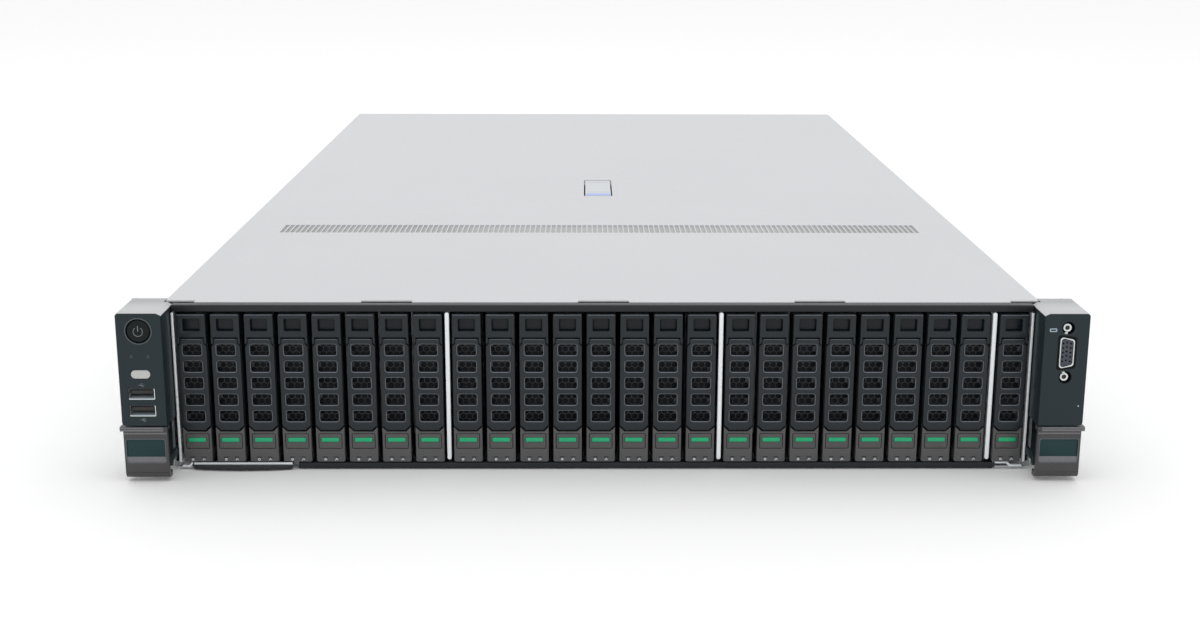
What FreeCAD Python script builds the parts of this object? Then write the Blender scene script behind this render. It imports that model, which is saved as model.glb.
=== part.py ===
"""Two-unit rack server: 25 front drive bays, hot-swap fans, supplies and lift-off cover.

Millimetres. X to the right seen from the front, Y to the back, Z up. The origin is on the
plane where the ears meet the rack posts, in the middle, level with the chassis bottom.
"""
import FreeCAD, Part
import math
import os

V = FreeCAD.Vector

# ---- Chassis ---------------------------------------------------------------------------
body_depth = 748.0          # chassis front edge to rear panel
body_height = 87.5          # chassis bottom to cover top
rack_width = 482.6          # 19-inch panel width, over the ears
rack_side = 18.6            # chassis side wall to the end of the panel width
setback = 9.0               # rack post plane behind the chassis front edge
sheet = 1.2                 # chassis and rear panel sheet
cover_sheet = 1.0
stud_radius = 3.6           # slide rail studs on the side walls
stud_reach = 2.2
stud_inset = 105.0
run_gap = 0.3               # clearance of everything that slides or swings
face_gap = 0.2              # clearance round buttons and ports

# ---- Top cover -------------------------------------------------------------------------
skirt_height = 9.0
notch_count = 3
notch_pitch = 110.3
notch_width = 26.0
notch_depth = 3.5
corner_notch = 15.0
vent_y = 178.3              # vent strip from the chassis front edge
vent_length = 24.2
vent_margin = 25.4          # chassis side to vent strip
vent_slot = 8.8
vent_pitch = 9.6
latch_y = 307.0             # cover latch from the chassis front edge
latch_length = 64.0
latch_width = 17.8
latch_thickness = 6.0
latch_pan_gap = 0.9
latch_pan_depth = 2.0       # room under the cover latch
latch_pin_radius = 1.5

# ---- Front frame -----------------------------------------------------------------------
frame_depth = 5.0           # frame face in front of the chassis edge
frame_drop = 0.4            # frame top below the cover top
lip_height = 3.3
lip_gap = 3.0               # label tab to lip
lip_inset = 14.8            # cage side to the lip's right end

# ---- Drive bays ------------------------------------------------------------------------
group_count = 3
group_bay_count = 8
end_bay_count = 1
divider_bay = 2.6           # width that a divider takes between two groups
divider_trim = 2.2
cage_sheet = 1.2
cage_side_gap = 3.1         # cage side wall to chassis side wall
runner_width = 5.0
runner_height = 1.3

carrier_gap = 2.45          # bay pitch less carrier width
carrier_headroom = 5.3      # carrier top below the cover top
face_proud = 6.0            # drive face in front of the chassis edge
bezel_depth = 16.0
bezel_wall = 1.15
bezel_bevel = 0.7
recess_height = 6.3
recess_margin = 2.2
recess_side = 3.1
recess_depth = 2.5
lever_below_top = 12.2
lever_thickness = 2.8
lever_neck = 4.3            # top of the lever, narrower between the pivot cheeks
lever_v = 2.7
lever_gap = 0.8             # V-shaped line between lever and lower bezel
window_count = 5
lever_rim = 2.4             # lever side to window
window_start = 3.0
window_end = 4.6
window_bar = 2.7
lever_pin_radius = 0.7
button_below_lever = 2.0
button_height = 7.9
button_side = 1.45
button_foot = 7.2           # carrier bottom to button
button_travel = 1.5
pipe_height = 2.2           # lit bar across the release button
pipe_side = 1.35
pipe_drop = 2.0
pipe_proud = 0.3
screen_thickness = 0.8
screen_setback = 6.0
rail_width = 6.0
disk_setback = 33.0         # drive face to disk
disk_length = 100.45
rail_height = 4.175         # carrier rails above and below the disk
disk_side_gap = 0.3

# ---- Backplane -------------------------------------------------------------------------
plug_length = 9.0
plug_width = 6.0
plug_height = 33.0
board_thickness = 2.0
backplane_vent_gap = 4.0    # drive plugs to the airway slots above them
backplane_vent_height = 14.0
power_socket_pitch = 100.0
power_socket_width = 24.0
power_socket_depth = 11.0
power_socket_height = 8.0
power_socket_low = 9.6      # cage floor to the sockets

# ---- Label tab -------------------------------------------------------------------------
tab_inset = 6.2             # cage side to label tab
tab_width = 50.6
tab_plate = 0.7
tab_hold = 18.0             # left inside when the tab is out
tab_lip = 3.4               # how far the lip stands in front of the frame
tab_bulge = 2.2             # how much less it stands out at its ends
tab_strip = 0.9             # flat strip over the lip, in front of the frame
tab_strip_height = 1.1
tab_travel = 60.0

# ---- Ears ------------------------------------------------------------------------------
ear_width = 22.5
ear_reach = 24.0            # ear face in front of the chassis edge
ear_bottom = 2.0
ear_upper = 58.2            # upper ear body above the latch
ear_round = 1.6
ear_chamfer = 1.3
flange_sheet = 1.6
ear_back_wall = 2.0
arm_sheet = 1.5
arm_length = 60.0
arm_margin = 10.0

captive_inset = 8.75        # rack hole line from the end of the panel width
captive_drop = 7.75         # screw below the upper ear body
captive_radius = 2.5
captive_clearance = 0.4
captive_head = 5.2
captive_head_length = 8.4
captive_reach = 12.0
captive_neck = 2.0          # thinner shank in the ear, which keeps the screw captive

pivot_back = 6.7            # latch pivot behind the ear face and above the latch bottom
ear_latch_wall = 2.3
ear_latch_gap = 0.7         # latch to upper ear body
ear_latch_lip = 2.3
ear_latch_hook = 5.0
ear_latch_corner = 3.5
ear_latch_side = 1.6
ear_latch_end = 0.3         # the skin stops this far in front of the pivot
ear_pin_radius = 1.2
pin_fit = 0.1
ear_arm = 1.4
cheek = 1.6

power_offset = 11.4         # from the ear's inner edge
power_drop = 9.1            # below the ear top, like the other places in the ears
power_radius = 5.7
uid_offset = 11.55
uid_drop = 31.3
uid_length = 9.7
uid_height = 4.4
button_reach = 7.0
button_proud = 0.4
press = 1.2

usb_offset = 11.7
usb_drops = (41.55, 50.3)
usb_width = 13.2
usb_height = 5.8
usb_wall = 0.4
usb_depth = 14.0
usb_tongue = 1.9
vga_offset = 11.85
vga_drop = 20.05
vga_height = 15.9
vga_width = 7.3
vga_depth = 12.0
vga_wall = 0.5
vga_screw_pitch = 25.4
vga_screw_radius = 2.3

# ---- Fans ------------------------------------------------------------------------------
cable_space = 60.0
fan_count = 6
fan_side = 5.5              # chassis side wall to the row of fans
fan_spacing = 8.0           # between neighbouring fan modules
fan_room = 8.1              # fan module to cover, for its handle
fan_depth = 38.0
fan_rim = 2.7
fan_hub = 14.0
fan_blades = 5
blade_tip_gap = 0.8
blade_thickness = 1.4
blade_pitch = 40.0          # degrees from the plane of the axis
blade_root = 16.0
blade_chord = 24.0
hub_setback = 3.0
hub_boss = 4.0
hub_boss_rise = 0.8
strut_depth = 4.0
strut_width = 3.0
fan_handle = 3.0

# ---- Motherboard and what it carries ---------------------------------------------------
board_height = 6.0          # underside of the board above the chassis bottom
board_gap = 8.0             # fan wall to board
board_margin = 5.0
standoff_radius = 3.0
standoff_inset = 12.0
sink_depth = 108.0
sink_base = 6.0
sink_fins = 14
fin_thickness = 1.2
socket_height = 6.0
socket_inset = 9.0          # heatsink side to socket
fan_plug_pitch = 40.0
fan_plug_width = 22.0
fan_plug_depth = 8.0
fan_plug_inset = 4.0        # board front edge to the fan connectors
fan_plug_height = 10.0
chip_offset = 90.0          # supply bay to the support chip
chip_setback = 40.0
chip_side = 40.0
chip_height = 8.0
tongue_gap = 10.0           # board's wide part ends in front of the supplies
middle_gap = 6.6            # middle line to the first memory bank
wall_gap = 20.1             # chassis side wall to the air baffle
cpu_setback = 75.0          # board front edge to heatsink front
dimm_count = 6
dimm_pitch = 8.4
dimm_gap = 7.0
dimm_length = 133.35
dimm_height = 31.25
dimm_thickness = 1.4
dimm_slot_height = 8.0
dimm_slot_width = 6.2
baffle_wall = 1.6
baffle_clear = 3.0
baffle_cover_gap = 3.9      # air baffle to the latch pan
baffle_depth = 190.0

# ---- Power supplies --------------------------------------------------------------------
supply_width = 73.5
supply_height = 40.0
supply_depth = 185.0
bay_sheet = 1.0
inlet_width = 27.5
inlet_height = 20.0
inlet_depth = 16.0
inlet_offset = 18.0
handle_reach = 24.0
handle_width = 22.0
handle_bar = 3.0
supply_latch_height = 12.0
supply_latch_reach = 17.0
supply_grille = 13.0
edge_length = 12.0

# ---- Risers and rear connectors --------------------------------------------------------
slot_pitch = 20.32
slot_length = 112.0
slot_opening = 14.0
cage_wall = 1.0
slot_inset = 6.0            # cage side to the bracket slots
slot_gap = 3.0
card_inset = 20.0           # cage front to the riser board
card_length = 130.0
card_thickness = 1.6
riser_depth = 175.0
riser_gap = 3.0
jack_depth = 17.0
jack_mouth = 8.0
jack_wall = 1.6
serial_width = 31.0
network_width = 16.0
usb_stack_width = 14.5
display_width = 62.0
jack_height = 13.0
jack_inset = 12.5           # supply bay to the first connector
jack_spacing = 10.0
jack_room = 15.0            # board to riser cage, over the rear connectors

# ---- Derived places --------------------------------------------------------------------
body_width = rack_width - 2 * rack_side
front = -setback
rear = front + body_depth
wall_x = body_width / 2
inner_x = wall_x - sheet
wall_top = body_height - cover_sheet

cage_x = inner_x - cage_side_gap - cage_sheet
row_half = cage_x - 0.1
group_sizes = [group_bay_count] * group_count + [end_bay_count]
bay_count = sum(group_sizes)
bay_pitch = (2 * row_half - divider_bay * (len(group_sizes) - 1)) / bay_count
carrier_width = bay_pitch - carrier_gap
cage_floor = sheet + cage_sheet
carrier_bottom = cage_floor + runner_height + run_gap
carrier_top = body_height - carrier_headroom
carrier_height = carrier_top - carrier_bottom
cage_roof = carrier_top + run_gap
lever_low = carrier_bottom + button_foot + button_height + button_below_lever
lever_top = carrier_top - lever_below_top
window_pitch = (lever_top - lever_low - window_start - window_end + window_bar) / window_count
window_width = carrier_width - 2 * lever_rim
button_width = carrier_width - 2 * button_side
button_depth = screen_setback - button_travel - run_gap
tab_length = tab_travel + tab_hold
tab_left = -cage_x + tab_inset
lip_left = tab_left + tab_width + lip_gap
lip_right = cage_x - lip_inset
frame_face = front - frame_depth
frame_top = body_height - frame_drop
frame_bar = carrier_top + 1.3
drive_face = front - face_proud
disk_front = drive_face + disk_setback
disk_back = disk_front + disk_length
plug_front = disk_back + run_gap
backplane_front = plug_front + plug_length
backplane_back = backplane_front + board_thickness

ear_outer = rack_width / 2
ear_inner = ear_outer - ear_width
ear_face = front - ear_reach
ear_top = body_height
ear_split = ear_top - ear_upper
captive_x = ear_outer - captive_inset
captive_z = ear_split - captive_drop
power_z = ear_top - power_drop
uid_z = ear_top - uid_drop
vga_z = ear_top - vga_drop
pivot_y = ear_face + pivot_back
pivot_z = ear_bottom + pivot_back

fan_front = backplane_back + cable_space
fan_back = fan_front + fan_depth
fan_pitch = 2 * (inner_x - fan_side) / fan_count
fan_body = fan_pitch - fan_spacing
fan_body_height = wall_top - fan_room - cage_floor
fan_bore = fan_body / 2 - fan_rim
fan_z = cage_floor + fan_body_height / 2
board_front = fan_back + board_gap
board_top = board_height + board_thickness
bank_width = dimm_gap + dimm_pitch * dimm_count
sink_width = inner_x - wall_gap - middle_gap - 2 * bank_width
cpu_x = middle_gap + bank_width + sink_width / 2
latch_pan_floor = body_height - latch_thickness - latch_pan_depth
baffle_top = latch_pan_floor - cover_sheet - baffle_cover_gap - baffle_wall
sink_top = baffle_top - baffle_clear
supply_front = rear - supply_depth
supply_bottom = sheet + run_gap
supply_top = supply_bottom + supply_height
supply_left = -inner_x + bay_sheet + run_gap
bay_right = supply_left + 2 * supply_width + 3 * run_gap + 2 * bay_sheet
bay_roof = supply_top + run_gap


def box(x, y, z):
    return Part.makeBox(x[1] - x[0], y[1] - y[0], z[1] - z[0], V(x[0], y[0], z[0]))


def centred(x, width):
    return (x - width / 2, x + width / 2)


def tube_y(x, z, radius, y):
    return Part.makeCylinder(radius, y[1] - y[0], V(x, y[0], z), V(0, 1, 0))


def tube_x(y, z, radius, x):
    return Part.makeCylinder(radius, x[1] - x[0], V(x[0], y, z), V(1, 0, 0))


def prism(points, along):
    """Closed outline of 3-D points pushed along a vector."""
    wire = Part.makePolygon(points + [points[0]])
    return Part.Face(wire).extrude(along)


def prism_xz(points, y):
    return prism([V(px, y[0], pz) for px, pz in points], V(0, y[1] - y[0], 0))


def prism_yz(points, x):
    return prism([V(x[0], py, pz) for py, pz in points], V(x[1] - x[0], 0, 0))


def join(shapes):
    return shapes[0].fuse(shapes[1:]).removeSplitter()


def mirrored(shape):
    return shape.mirror(V(0, 0, 0), V(1, 0, 0))


def save(node, shapes):
    solids = []
    for shape in shapes:
        solids += shape.Solids
    Part.Compound(solids).exportStep("parts/" + node + ".step")


# ---- Chassis, rear panel, front frame --------------------------------------------------
def bay_centres():
    centres = []
    left = -row_half
    for size in group_sizes:
        for bay in range(size):
            centres.append(left + bay_pitch * (bay + 0.5))
        left += bay_pitch * size + divider_bay
    return centres


def divider_centres():
    centres = []
    left = -row_half
    for size in group_sizes[:-1]:
        left += bay_pitch * size + divider_bay
        centres.append(left - divider_bay / 2)
    return centres


def board_x():
    return (-inner_x + board_margin, inner_x - board_margin)


def standoff_places():
    xs = board_x()
    inset = standoff_inset
    places = []
    for y in (board_front + inset, supply_front - 2 * inset):
        for x in (xs[0] + inset, 0.0, xs[1] - inset):
            places.append((x, y))
    for x in (bay_right + 2 * inset, xs[1] - inset):
        places.append((x, rear - 4 * inset))
    return places


def chassis_base():
    floor = box((-wall_x, wall_x), (front, rear), (0, sheet))
    left = box((-wall_x, -inner_x), (front, rear), (sheet, wall_top))
    tongue = box((lip_right + 1.0, ear_inner - run_gap), (frame_face + 0.5, front), (0, sheet))
    near = box((-ear_inner + run_gap, tab_left - 1.0), (frame_face + 0.5, front), (0, sheet))
    parts = [floor, left, mirrored(left), tongue, near]
    for x, y in standoff_places():
        hexagon = []
        for corner in range(6):
            turn = math.radians(60 * corner)
            hexagon.append(V(x + standoff_radius * math.cos(turn), y + standoff_radius * math.sin(turn), sheet))
        parts.append(prism(hexagon, V(0, 0, board_height - sheet)))
    for stud_y in (front + stud_inset, front + body_depth / 2, rear - stud_inset):
        stud = tube_x(stud_y, body_height / 2, stud_radius, (wall_x, wall_x + stud_reach))
        parts += [stud, mirrored(stud)]
    return [join(parts)]


def riser_places():
    """Left edge, bottom and number of slots of each riser cage."""
    high = bay_roof + bay_sheet + 0.5
    low = board_top + jack_room
    width = slot_length + 2 * cage_wall
    first = bay_right + riser_gap
    places = []
    for left, bottom in ((-inner_x + riser_gap, high), (first, low), (first + width + 2 * riser_gap, low)):
        slot_count = int((wall_top - bottom - 2 * cage_wall) / slot_pitch)
        places.append((left, bottom, slot_count))
    return places


def rear_jacks():
    """Centre x, width and height of each connector along the board's rear edge."""
    jacks = []
    x = bay_right + jack_inset
    for width in (serial_width, network_width, network_width, usb_stack_width, display_width):
        jacks.append((x + width / 2, width, jack_height))
        x += width + jack_spacing
    return jacks


def rear_panel():
    plate = box((-inner_x, inner_x), (rear - sheet, rear), (sheet, wall_top))
    cuts = []
    for x in (supply_left, supply_left + supply_width + run_gap + bay_sheet + run_gap):
        cuts.append(box((x - run_gap, x + supply_width + run_gap), (rear - 2, rear + 1), (0, bay_roof)))
    for left, bottom, slots in riser_places():
        for slot in range(slots):
            z = bottom + cage_wall + slot_pitch * (slot + 0.5)
            across = (left + cage_wall + 2.0, left + cage_wall + slot_length - 2.0)
            cuts.append(box(across, (rear - 2, rear + 1), centred(z, slot_opening)))
    for x, width, height in rear_jacks():
        opening = (board_top, board_top + height + face_gap)
        cuts.append(box(centred(x, width + 2 * face_gap), (rear - 2, rear + 1), opening))
    plate = plate.cut(cuts)
    shelf_y = (supply_front, rear - sheet)
    bay = [box((-inner_x, -inner_x + bay_sheet), shelf_y, (sheet, bay_roof))]
    middle = supply_left + supply_width + run_gap
    bay.append(box((middle, middle + bay_sheet), shelf_y, (sheet, bay_roof)))
    bay.append(box((bay_right - bay_sheet, bay_right), shelf_y, (sheet, bay_roof)))
    bay.append(box((-inner_x, bay_right), shelf_y, (bay_roof, bay_roof + bay_sheet)))
    return [plate, join(bay)]


def front_frame():
    bar_x = ear_inner - run_gap
    bar = box((-bar_x, bar_x), (frame_face, front), (frame_bar, frame_top))
    flange = box((-cage_x, cage_x), (front, front + 8.0), (cage_roof + cage_sheet, cage_roof + 2 * cage_sheet))
    lip = box((lip_left, lip_right), (frame_face, front), (0, lip_height))
    return [join([bar, flange]), lip]


def drive_cage():
    depth = (front, backplane_front)
    floor = box((-inner_x, inner_x), depth, (sheet, cage_floor))
    slot = box((tab_left - run_gap, tab_left + tab_width + run_gap),
               (front - 1, frame_face + tab_length + run_gap), (sheet - 1, cage_floor))
    floor = floor.cut(slot)
    roof_x = cage_x + cage_sheet
    roof = box((-roof_x, roof_x), depth, (cage_roof, cage_roof + cage_sheet))
    side = box((cage_x, cage_x + cage_sheet), depth, (cage_floor, cage_roof))
    strip = box((cage_x, cage_x + cage_sheet), (drive_face, front), (carrier_bottom, frame_bar - run_gap))
    parts = [floor, roof, side, mirrored(side), strip, mirrored(strip)]
    for x in bay_centres():
        run = centred(x, runner_width)
        ends = (front + 1.0, backplane_front - 1.0)
        parts.append(box(run, ends, (cage_floor, cage_floor + runner_height)))
    for x in divider_centres():
        parts.append(box(centred(x, cage_sheet), depth, (cage_floor, cage_roof)))
        low = carrier_bottom + 1.0 + divider_trim / 2
        parts.append(box(centred(x, divider_trim), (drive_face + 0.8, front), (low, frame_bar - run_gap)))
        parts.append(tube_y(x, low, divider_trim / 2, (drive_face + 0.8, front)))
    edge = 0.7
    step = [(lip_right + 1, cage_floor + 0.5), (lip_right + 7, cage_floor + 0.5), (lip_right + 8.5, sheet),
            (cage_x, sheet), (cage_x, sheet + edge), (lip_right + 9, sheet + edge),
            (lip_right + 7.4, cage_floor + 0.5 + edge), (lip_right + 1, cage_floor + 0.5 + edge)]
    parts.append(prism_xz(step, (frame_face, front)))
    fold = [(-cage_x, sheet), (tab_left - 2.2, sheet), (tab_left - 0.7, cage_floor + 0.8), (tab_left - 1.4, cage_floor + 1.2),
            (tab_left - 2.6, sheet + edge), (-cage_x, sheet + edge)]
    parts.append(prism_xz(fold, (frame_face, front)))
    return [join(parts)]


def drive_backplane():
    across = (-cage_x, cage_x)
    board = box(across, (backplane_front, backplane_back), (cage_floor, cage_roof))
    middle = (carrier_bottom + carrier_top) / 2
    vent_low = middle + plug_height / 2 + backplane_vent_gap
    cuts = []
    for x in bay_centres()[1::3]:
        cuts.append(box(centred(x, 2 * bay_pitch), (backplane_front - 1, backplane_back + 1),
                        (vent_low, vent_low + backplane_vent_height)))
    board = board.cut(cuts)
    plugs = []
    for x in bay_centres():
        plugs.append(box(centred(x, plug_width), (plug_front, backplane_front), centred(middle, plug_height)))
    sockets = []
    socket_low = cage_floor + power_socket_low
    for place in (-1.5, -0.5, 0.5, 1.5):
        x = place * power_socket_pitch
        sockets.append(box(centred(x, power_socket_width), (backplane_back, backplane_back + power_socket_depth),
                           (socket_low, socket_low + power_socket_height)))
    return [board] + plugs + sockets


# ---- Drive carriers --------------------------------------------------------------------
def lever_outline(x):
    half = carrier_width / 2
    slim = half - bezel_wall - face_gap
    low, top = lever_low, lever_top
    neck = top - lever_neck
    right = [(half - lever_v, low), (half, low + lever_v), (half, neck), (slim, neck + half - slim), (slim, top)]
    return [(x + px, pz) for px, pz in right] + [(x - px, pz) for px, pz in reversed(right)]


def lever_seat(x):
    """Room for the lever in the carrier's face, open to both sides below the pivot cheeks."""
    half = carrier_width / 2
    inside = half - bezel_wall
    low, top = lever_low, lever_top
    slant = math.sqrt(2)
    under = low - lever_gap
    flat = half - lever_v + (slant - 1) * lever_gap
    over = top - lever_neck + lever_gap
    right = [(flat, under), (half + 1, under + half + 1 - flat), (half + 1, over - 1), (inside, over + half - inside),
             (inside, top + run_gap)]
    return [(x + px, pz) for px, pz in right] + [(x - px, pz) for px, pz in reversed(right)]


def lever_pivot():
    return (drive_face + lever_thickness / 2, lever_top - window_start / 2)


def drive_lever(x, hinged):
    plate = prism_xz(lever_outline(x), (drive_face, drive_face + lever_thickness))
    top = lever_top - window_start
    cuts = []
    for window in range(window_count):
        z = top - window_pitch * window
        cuts.append(box(centred(x, window_width), (drive_face - 1, drive_face + lever_thickness + 1),
                        (z - window_pitch + window_bar, z)))
    lever = plate.cut(cuts)
    if not hinged:
        return lever
    y, z = lever_pivot()
    wide = (x - carrier_width, x + carrier_width)
    corner = box(wide, (drive_face - 1, drive_face + lever_thickness + 1), (z, z + window_start))
    barrel = tube_x(y, z, window_start / 2, wide)
    bore = tube_x(y, z, lever_pin_radius + pin_fit, wide)
    return lever.cut(corner.cut(barrel)).cut(bore)


def button_z():
    top = lever_low - button_below_lever
    return (top - button_height, top)


def release_button(x):
    low, high = button_z()
    body = box(centred(x, button_width), (drive_face, drive_face + button_depth), (low, high))
    pipe_top = high - pipe_drop
    pipe = box(centred(x, button_width - 2 * pipe_side), (drive_face - pipe_proud, drive_face), (pipe_top - pipe_height, pipe_top))
    return [body, pipe]


def drive_carrier(x, hinged):
    half = carrier_width / 2
    back = drive_face + bezel_depth
    plan = [V(x - half, back, carrier_bottom), V(x - half, drive_face + bezel_bevel, carrier_bottom),
            V(x - half + bezel_bevel, drive_face, carrier_bottom),
            V(x + half - bezel_bevel, drive_face, carrier_bottom),
            V(x + half, drive_face + bezel_bevel, carrier_bottom), V(x + half, back, carrier_bottom)]
    shell = prism(plan, V(0, 0, carrier_height))
    inside = (x - half + bezel_wall, x + half - bezel_wall)
    through = (drive_face - 1, back + 1)
    low, high = lever_low, lever_top
    seat = prism_xz(lever_seat(x), (drive_face - 1, drive_face + lever_thickness + run_gap))
    window = box(inside, through, (low + lever_v, high + run_gap))
    button_low, button_high = button_z()
    pocket = box(centred(x, button_width + 2 * face_gap), through, (button_low - face_gap, button_high + face_gap))
    recess_top = carrier_top - recess_margin
    recess = box(centred(x, carrier_width - 2 * recess_side), (drive_face - 1, drive_face + recess_depth),
                 (recess_top - recess_height, recess_top))
    shell = shell.cut([seat, window, pocket, recess])
    screen_y = drive_face + screen_setback
    screen = box(inside, (screen_y, screen_y + screen_thickness), (button_low - face_gap, high + run_gap))
    bottom_rail = box(centred(x, rail_width), (back, disk_back), (carrier_bottom, carrier_bottom + rail_height))
    top_rail = box(centred(x, rail_width), (back, disk_back), (carrier_top - rail_height, carrier_top))
    body = [shell, screen, bottom_rail, top_rail]
    if hinged:
        y, z = lever_pivot()
        body.append(tube_x(y, z, lever_pin_radius, (inside[0] - 0.5, inside[1] + 0.5)))
    carrier = join(body)
    disk_z = (carrier_bottom + rail_height, carrier_top - rail_height)
    disk = box(centred(x, carrier_width - 2 * disk_side_gap), (disk_front, disk_back), disk_z)
    return [carrier, disk]


# ---- Label tab -------------------------------------------------------------------------
def label_tab():
    across = (tab_left, tab_left + tab_width)
    low = sheet + face_gap
    plate = box(across, (frame_face - 0.6, frame_face + tab_length), (low, low + tab_plate))
    crest = cage_floor + runner_height - 0.1
    middle = tab_left + tab_width / 2
    plan = [V(across[1], frame_face - 0.3, 0.2), V(across[0], frame_face - 0.3, 0.2)]
    for step in range(7):
        along = step / 3 - 1
        bulge = tab_lip - tab_bulge * along ** 2
        plan.append(V(middle + along * tab_width / 2, frame_face - bulge, 0.2))
    lip = prism(plan, V(0, 0, crest - tab_strip_height - 0.2))
    strip = box(across, (frame_face - tab_strip, frame_face - run_gap), (low, crest))
    return [join([plate, lip, strip])]


# ---- Ears ------------------------------------------------------------------------------
def ear_body():
    """Right-hand ear without its ports."""
    bend = ear_outer - ear_round * (1 - math.cos(math.pi / 4))
    outline = [(ear_inner, ear_split), (ear_outer, ear_split), (ear_outer, ear_top - ear_round),
               (bend, ear_top - ear_round * (1 - math.sin(math.pi / 4))),
               (ear_outer - ear_round, ear_top), (ear_inner + ear_chamfer, ear_top),
               (ear_inner, ear_top - ear_chamfer)]
    upper = prism_xz(outline, (ear_face, -flange_sheet))
    wall = box((ear_inner, ear_outer), (-flange_sheet - ear_back_wall, -flange_sheet), (ear_bottom, ear_split))
    body = [upper, wall]
    back = -flange_sheet
    lug = [(back, pivot_z - 0.4), (pivot_y + 2.4, pivot_z - 0.4), (pivot_y + 1, pivot_z - 2.4), (pivot_y - 1, pivot_z - 2.4),
           (pivot_y - 2.4, pivot_z - 1), (pivot_y - 2.4, pivot_z + 1), (pivot_y, pivot_z + 3.5), (back, pivot_z + 3.5)]
    for x in (ear_inner, ear_outer - ear_arm):
        body.append(prism_yz(lug, (x, x + ear_arm)))
    body.append(tube_x(pivot_y, pivot_z, ear_pin_radius, (ear_inner + 0.2, ear_outer - 0.2)))
    body = join(body)
    clear = box((ear_inner - 5, wall_x + face_gap), (front, 5), (-5, body_height + 5))
    body = body.cut(clear)
    body = body.cut(tube_y(captive_x, captive_z, captive_radius + captive_clearance, (-20, 5)))
    plate = box((wall_x, ear_outer), (-flange_sheet, 0), (ear_bottom, ear_top))
    plate = plate.cut(tube_y(captive_x, captive_z, captive_radius + captive_clearance, (-20, 5)))
    arm = box((wall_x, wall_x + arm_sheet), (-flange_sheet, arm_length), (arm_margin, ear_top - arm_margin))
    return body, join([plate, arm])


def stadium(x, z, length, height, y):
    half = (length - height) / 2
    bar = box((x - half, x + half), y, centred(z, height))
    return join([bar, tube_y(x - half, z, height / 2, y), tube_y(x + half, z, height / 2, y)])


def vga_outline(x, z, grow):
    """D outline with its long side towards the chassis."""
    half = vga_height / 2 + grow
    left = x - vga_width / 2 - grow
    right = x + vga_width / 2 + grow
    slope = vga_width * 0.17
    return [(left, z - half + 1), (left + 1, z - half), (right - 1, z - half + slope), (right, z - half + slope + 1),
            (right, z + half - slope - 1), (right - 1, z + half - slope), (left + 1, z + half), (left, z + half - 1)]


def vga_x():
    return ear_inner + vga_offset


def usb_x():
    return -(ear_inner + usb_offset)


def usb_places():
    return [ear_top - drop for drop in usb_drops]


def left_ear():
    body, metal = ear_body()
    body = mirrored(body)
    metal = mirrored(metal)
    power_x = -(ear_inner + power_offset)
    uid_x = -(ear_inner + uid_offset)
    deep = (ear_face - 1, ear_face + button_reach + press)
    cuts = [tube_y(power_x, power_z, power_radius + face_gap, deep),
            stadium(uid_x, uid_z, uid_length + 2 * face_gap, uid_height + 2 * face_gap, deep)]
    for z in usb_places():
        cuts.append(box(centred(usb_x(), usb_width), (ear_face - 1, ear_face + usb_depth), centred(z, usb_height)))
    body = body.cut(cuts)
    return [body, metal]


def right_ear():
    body, metal = ear_body()
    cuts = [prism_xz(vga_outline(vga_x(), vga_z, 0.0), (ear_face - 1, ear_face + vga_depth))]
    for side in (-1, 1):
        z = vga_z + side * vga_screw_pitch / 2
        cuts.append(tube_y(vga_x(), z, vga_screw_radius, (ear_face - 1, ear_face + 4)))
    body = body.cut(cuts)
    return [body, metal]


def front_ports():
    solids = []
    for z in usb_places():
        y = (ear_face + face_gap, ear_face + usb_depth)
        shell = box(centred(usb_x(), usb_width), y, centred(z, usb_height))
        hollow = box(centred(usb_x(), usb_width - 2 * usb_wall), (ear_face - 1, ear_face + usb_depth - 2),
                     centred(z, usb_height - 2 * usb_wall))
        high = z + usb_height / 2 - usb_wall - 0.7
        tongue = box(centred(usb_x(), usb_width - 2 * usb_wall - 1.2), (ear_face + 1, ear_face + usb_depth - 2),
                     (high - usb_tongue, high))
        solids += [shell.cut(hollow), tongue]
    y = (ear_face - 0.3, ear_face + vga_depth)
    shell = prism_xz(vga_outline(vga_x(), vga_z, 0.0), y)
    hollow = prism_xz(vga_outline(vga_x(), vga_z, -vga_wall), (ear_face - 1, ear_face + 2.0))
    solids.append(shell.cut(hollow))
    for side in (-1, 1):
        z = vga_z + side * vga_screw_pitch / 2
        solids.append(tube_y(vga_x(), z, vga_screw_radius, (ear_face - 1.6, ear_face + 4)))
    return solids


def captive_screws():
    seat = -flange_sheet - ear_back_wall
    head = tube_y(captive_x, captive_z, captive_head, (seat - captive_head_length, seat))
    neck = tube_y(captive_x, captive_z, captive_neck, (seat, 0))
    shank = tube_y(captive_x, captive_z, captive_radius, (0, captive_reach))
    screw = join([head, neck, shank])
    return [screw, mirrored(screw)]


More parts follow.
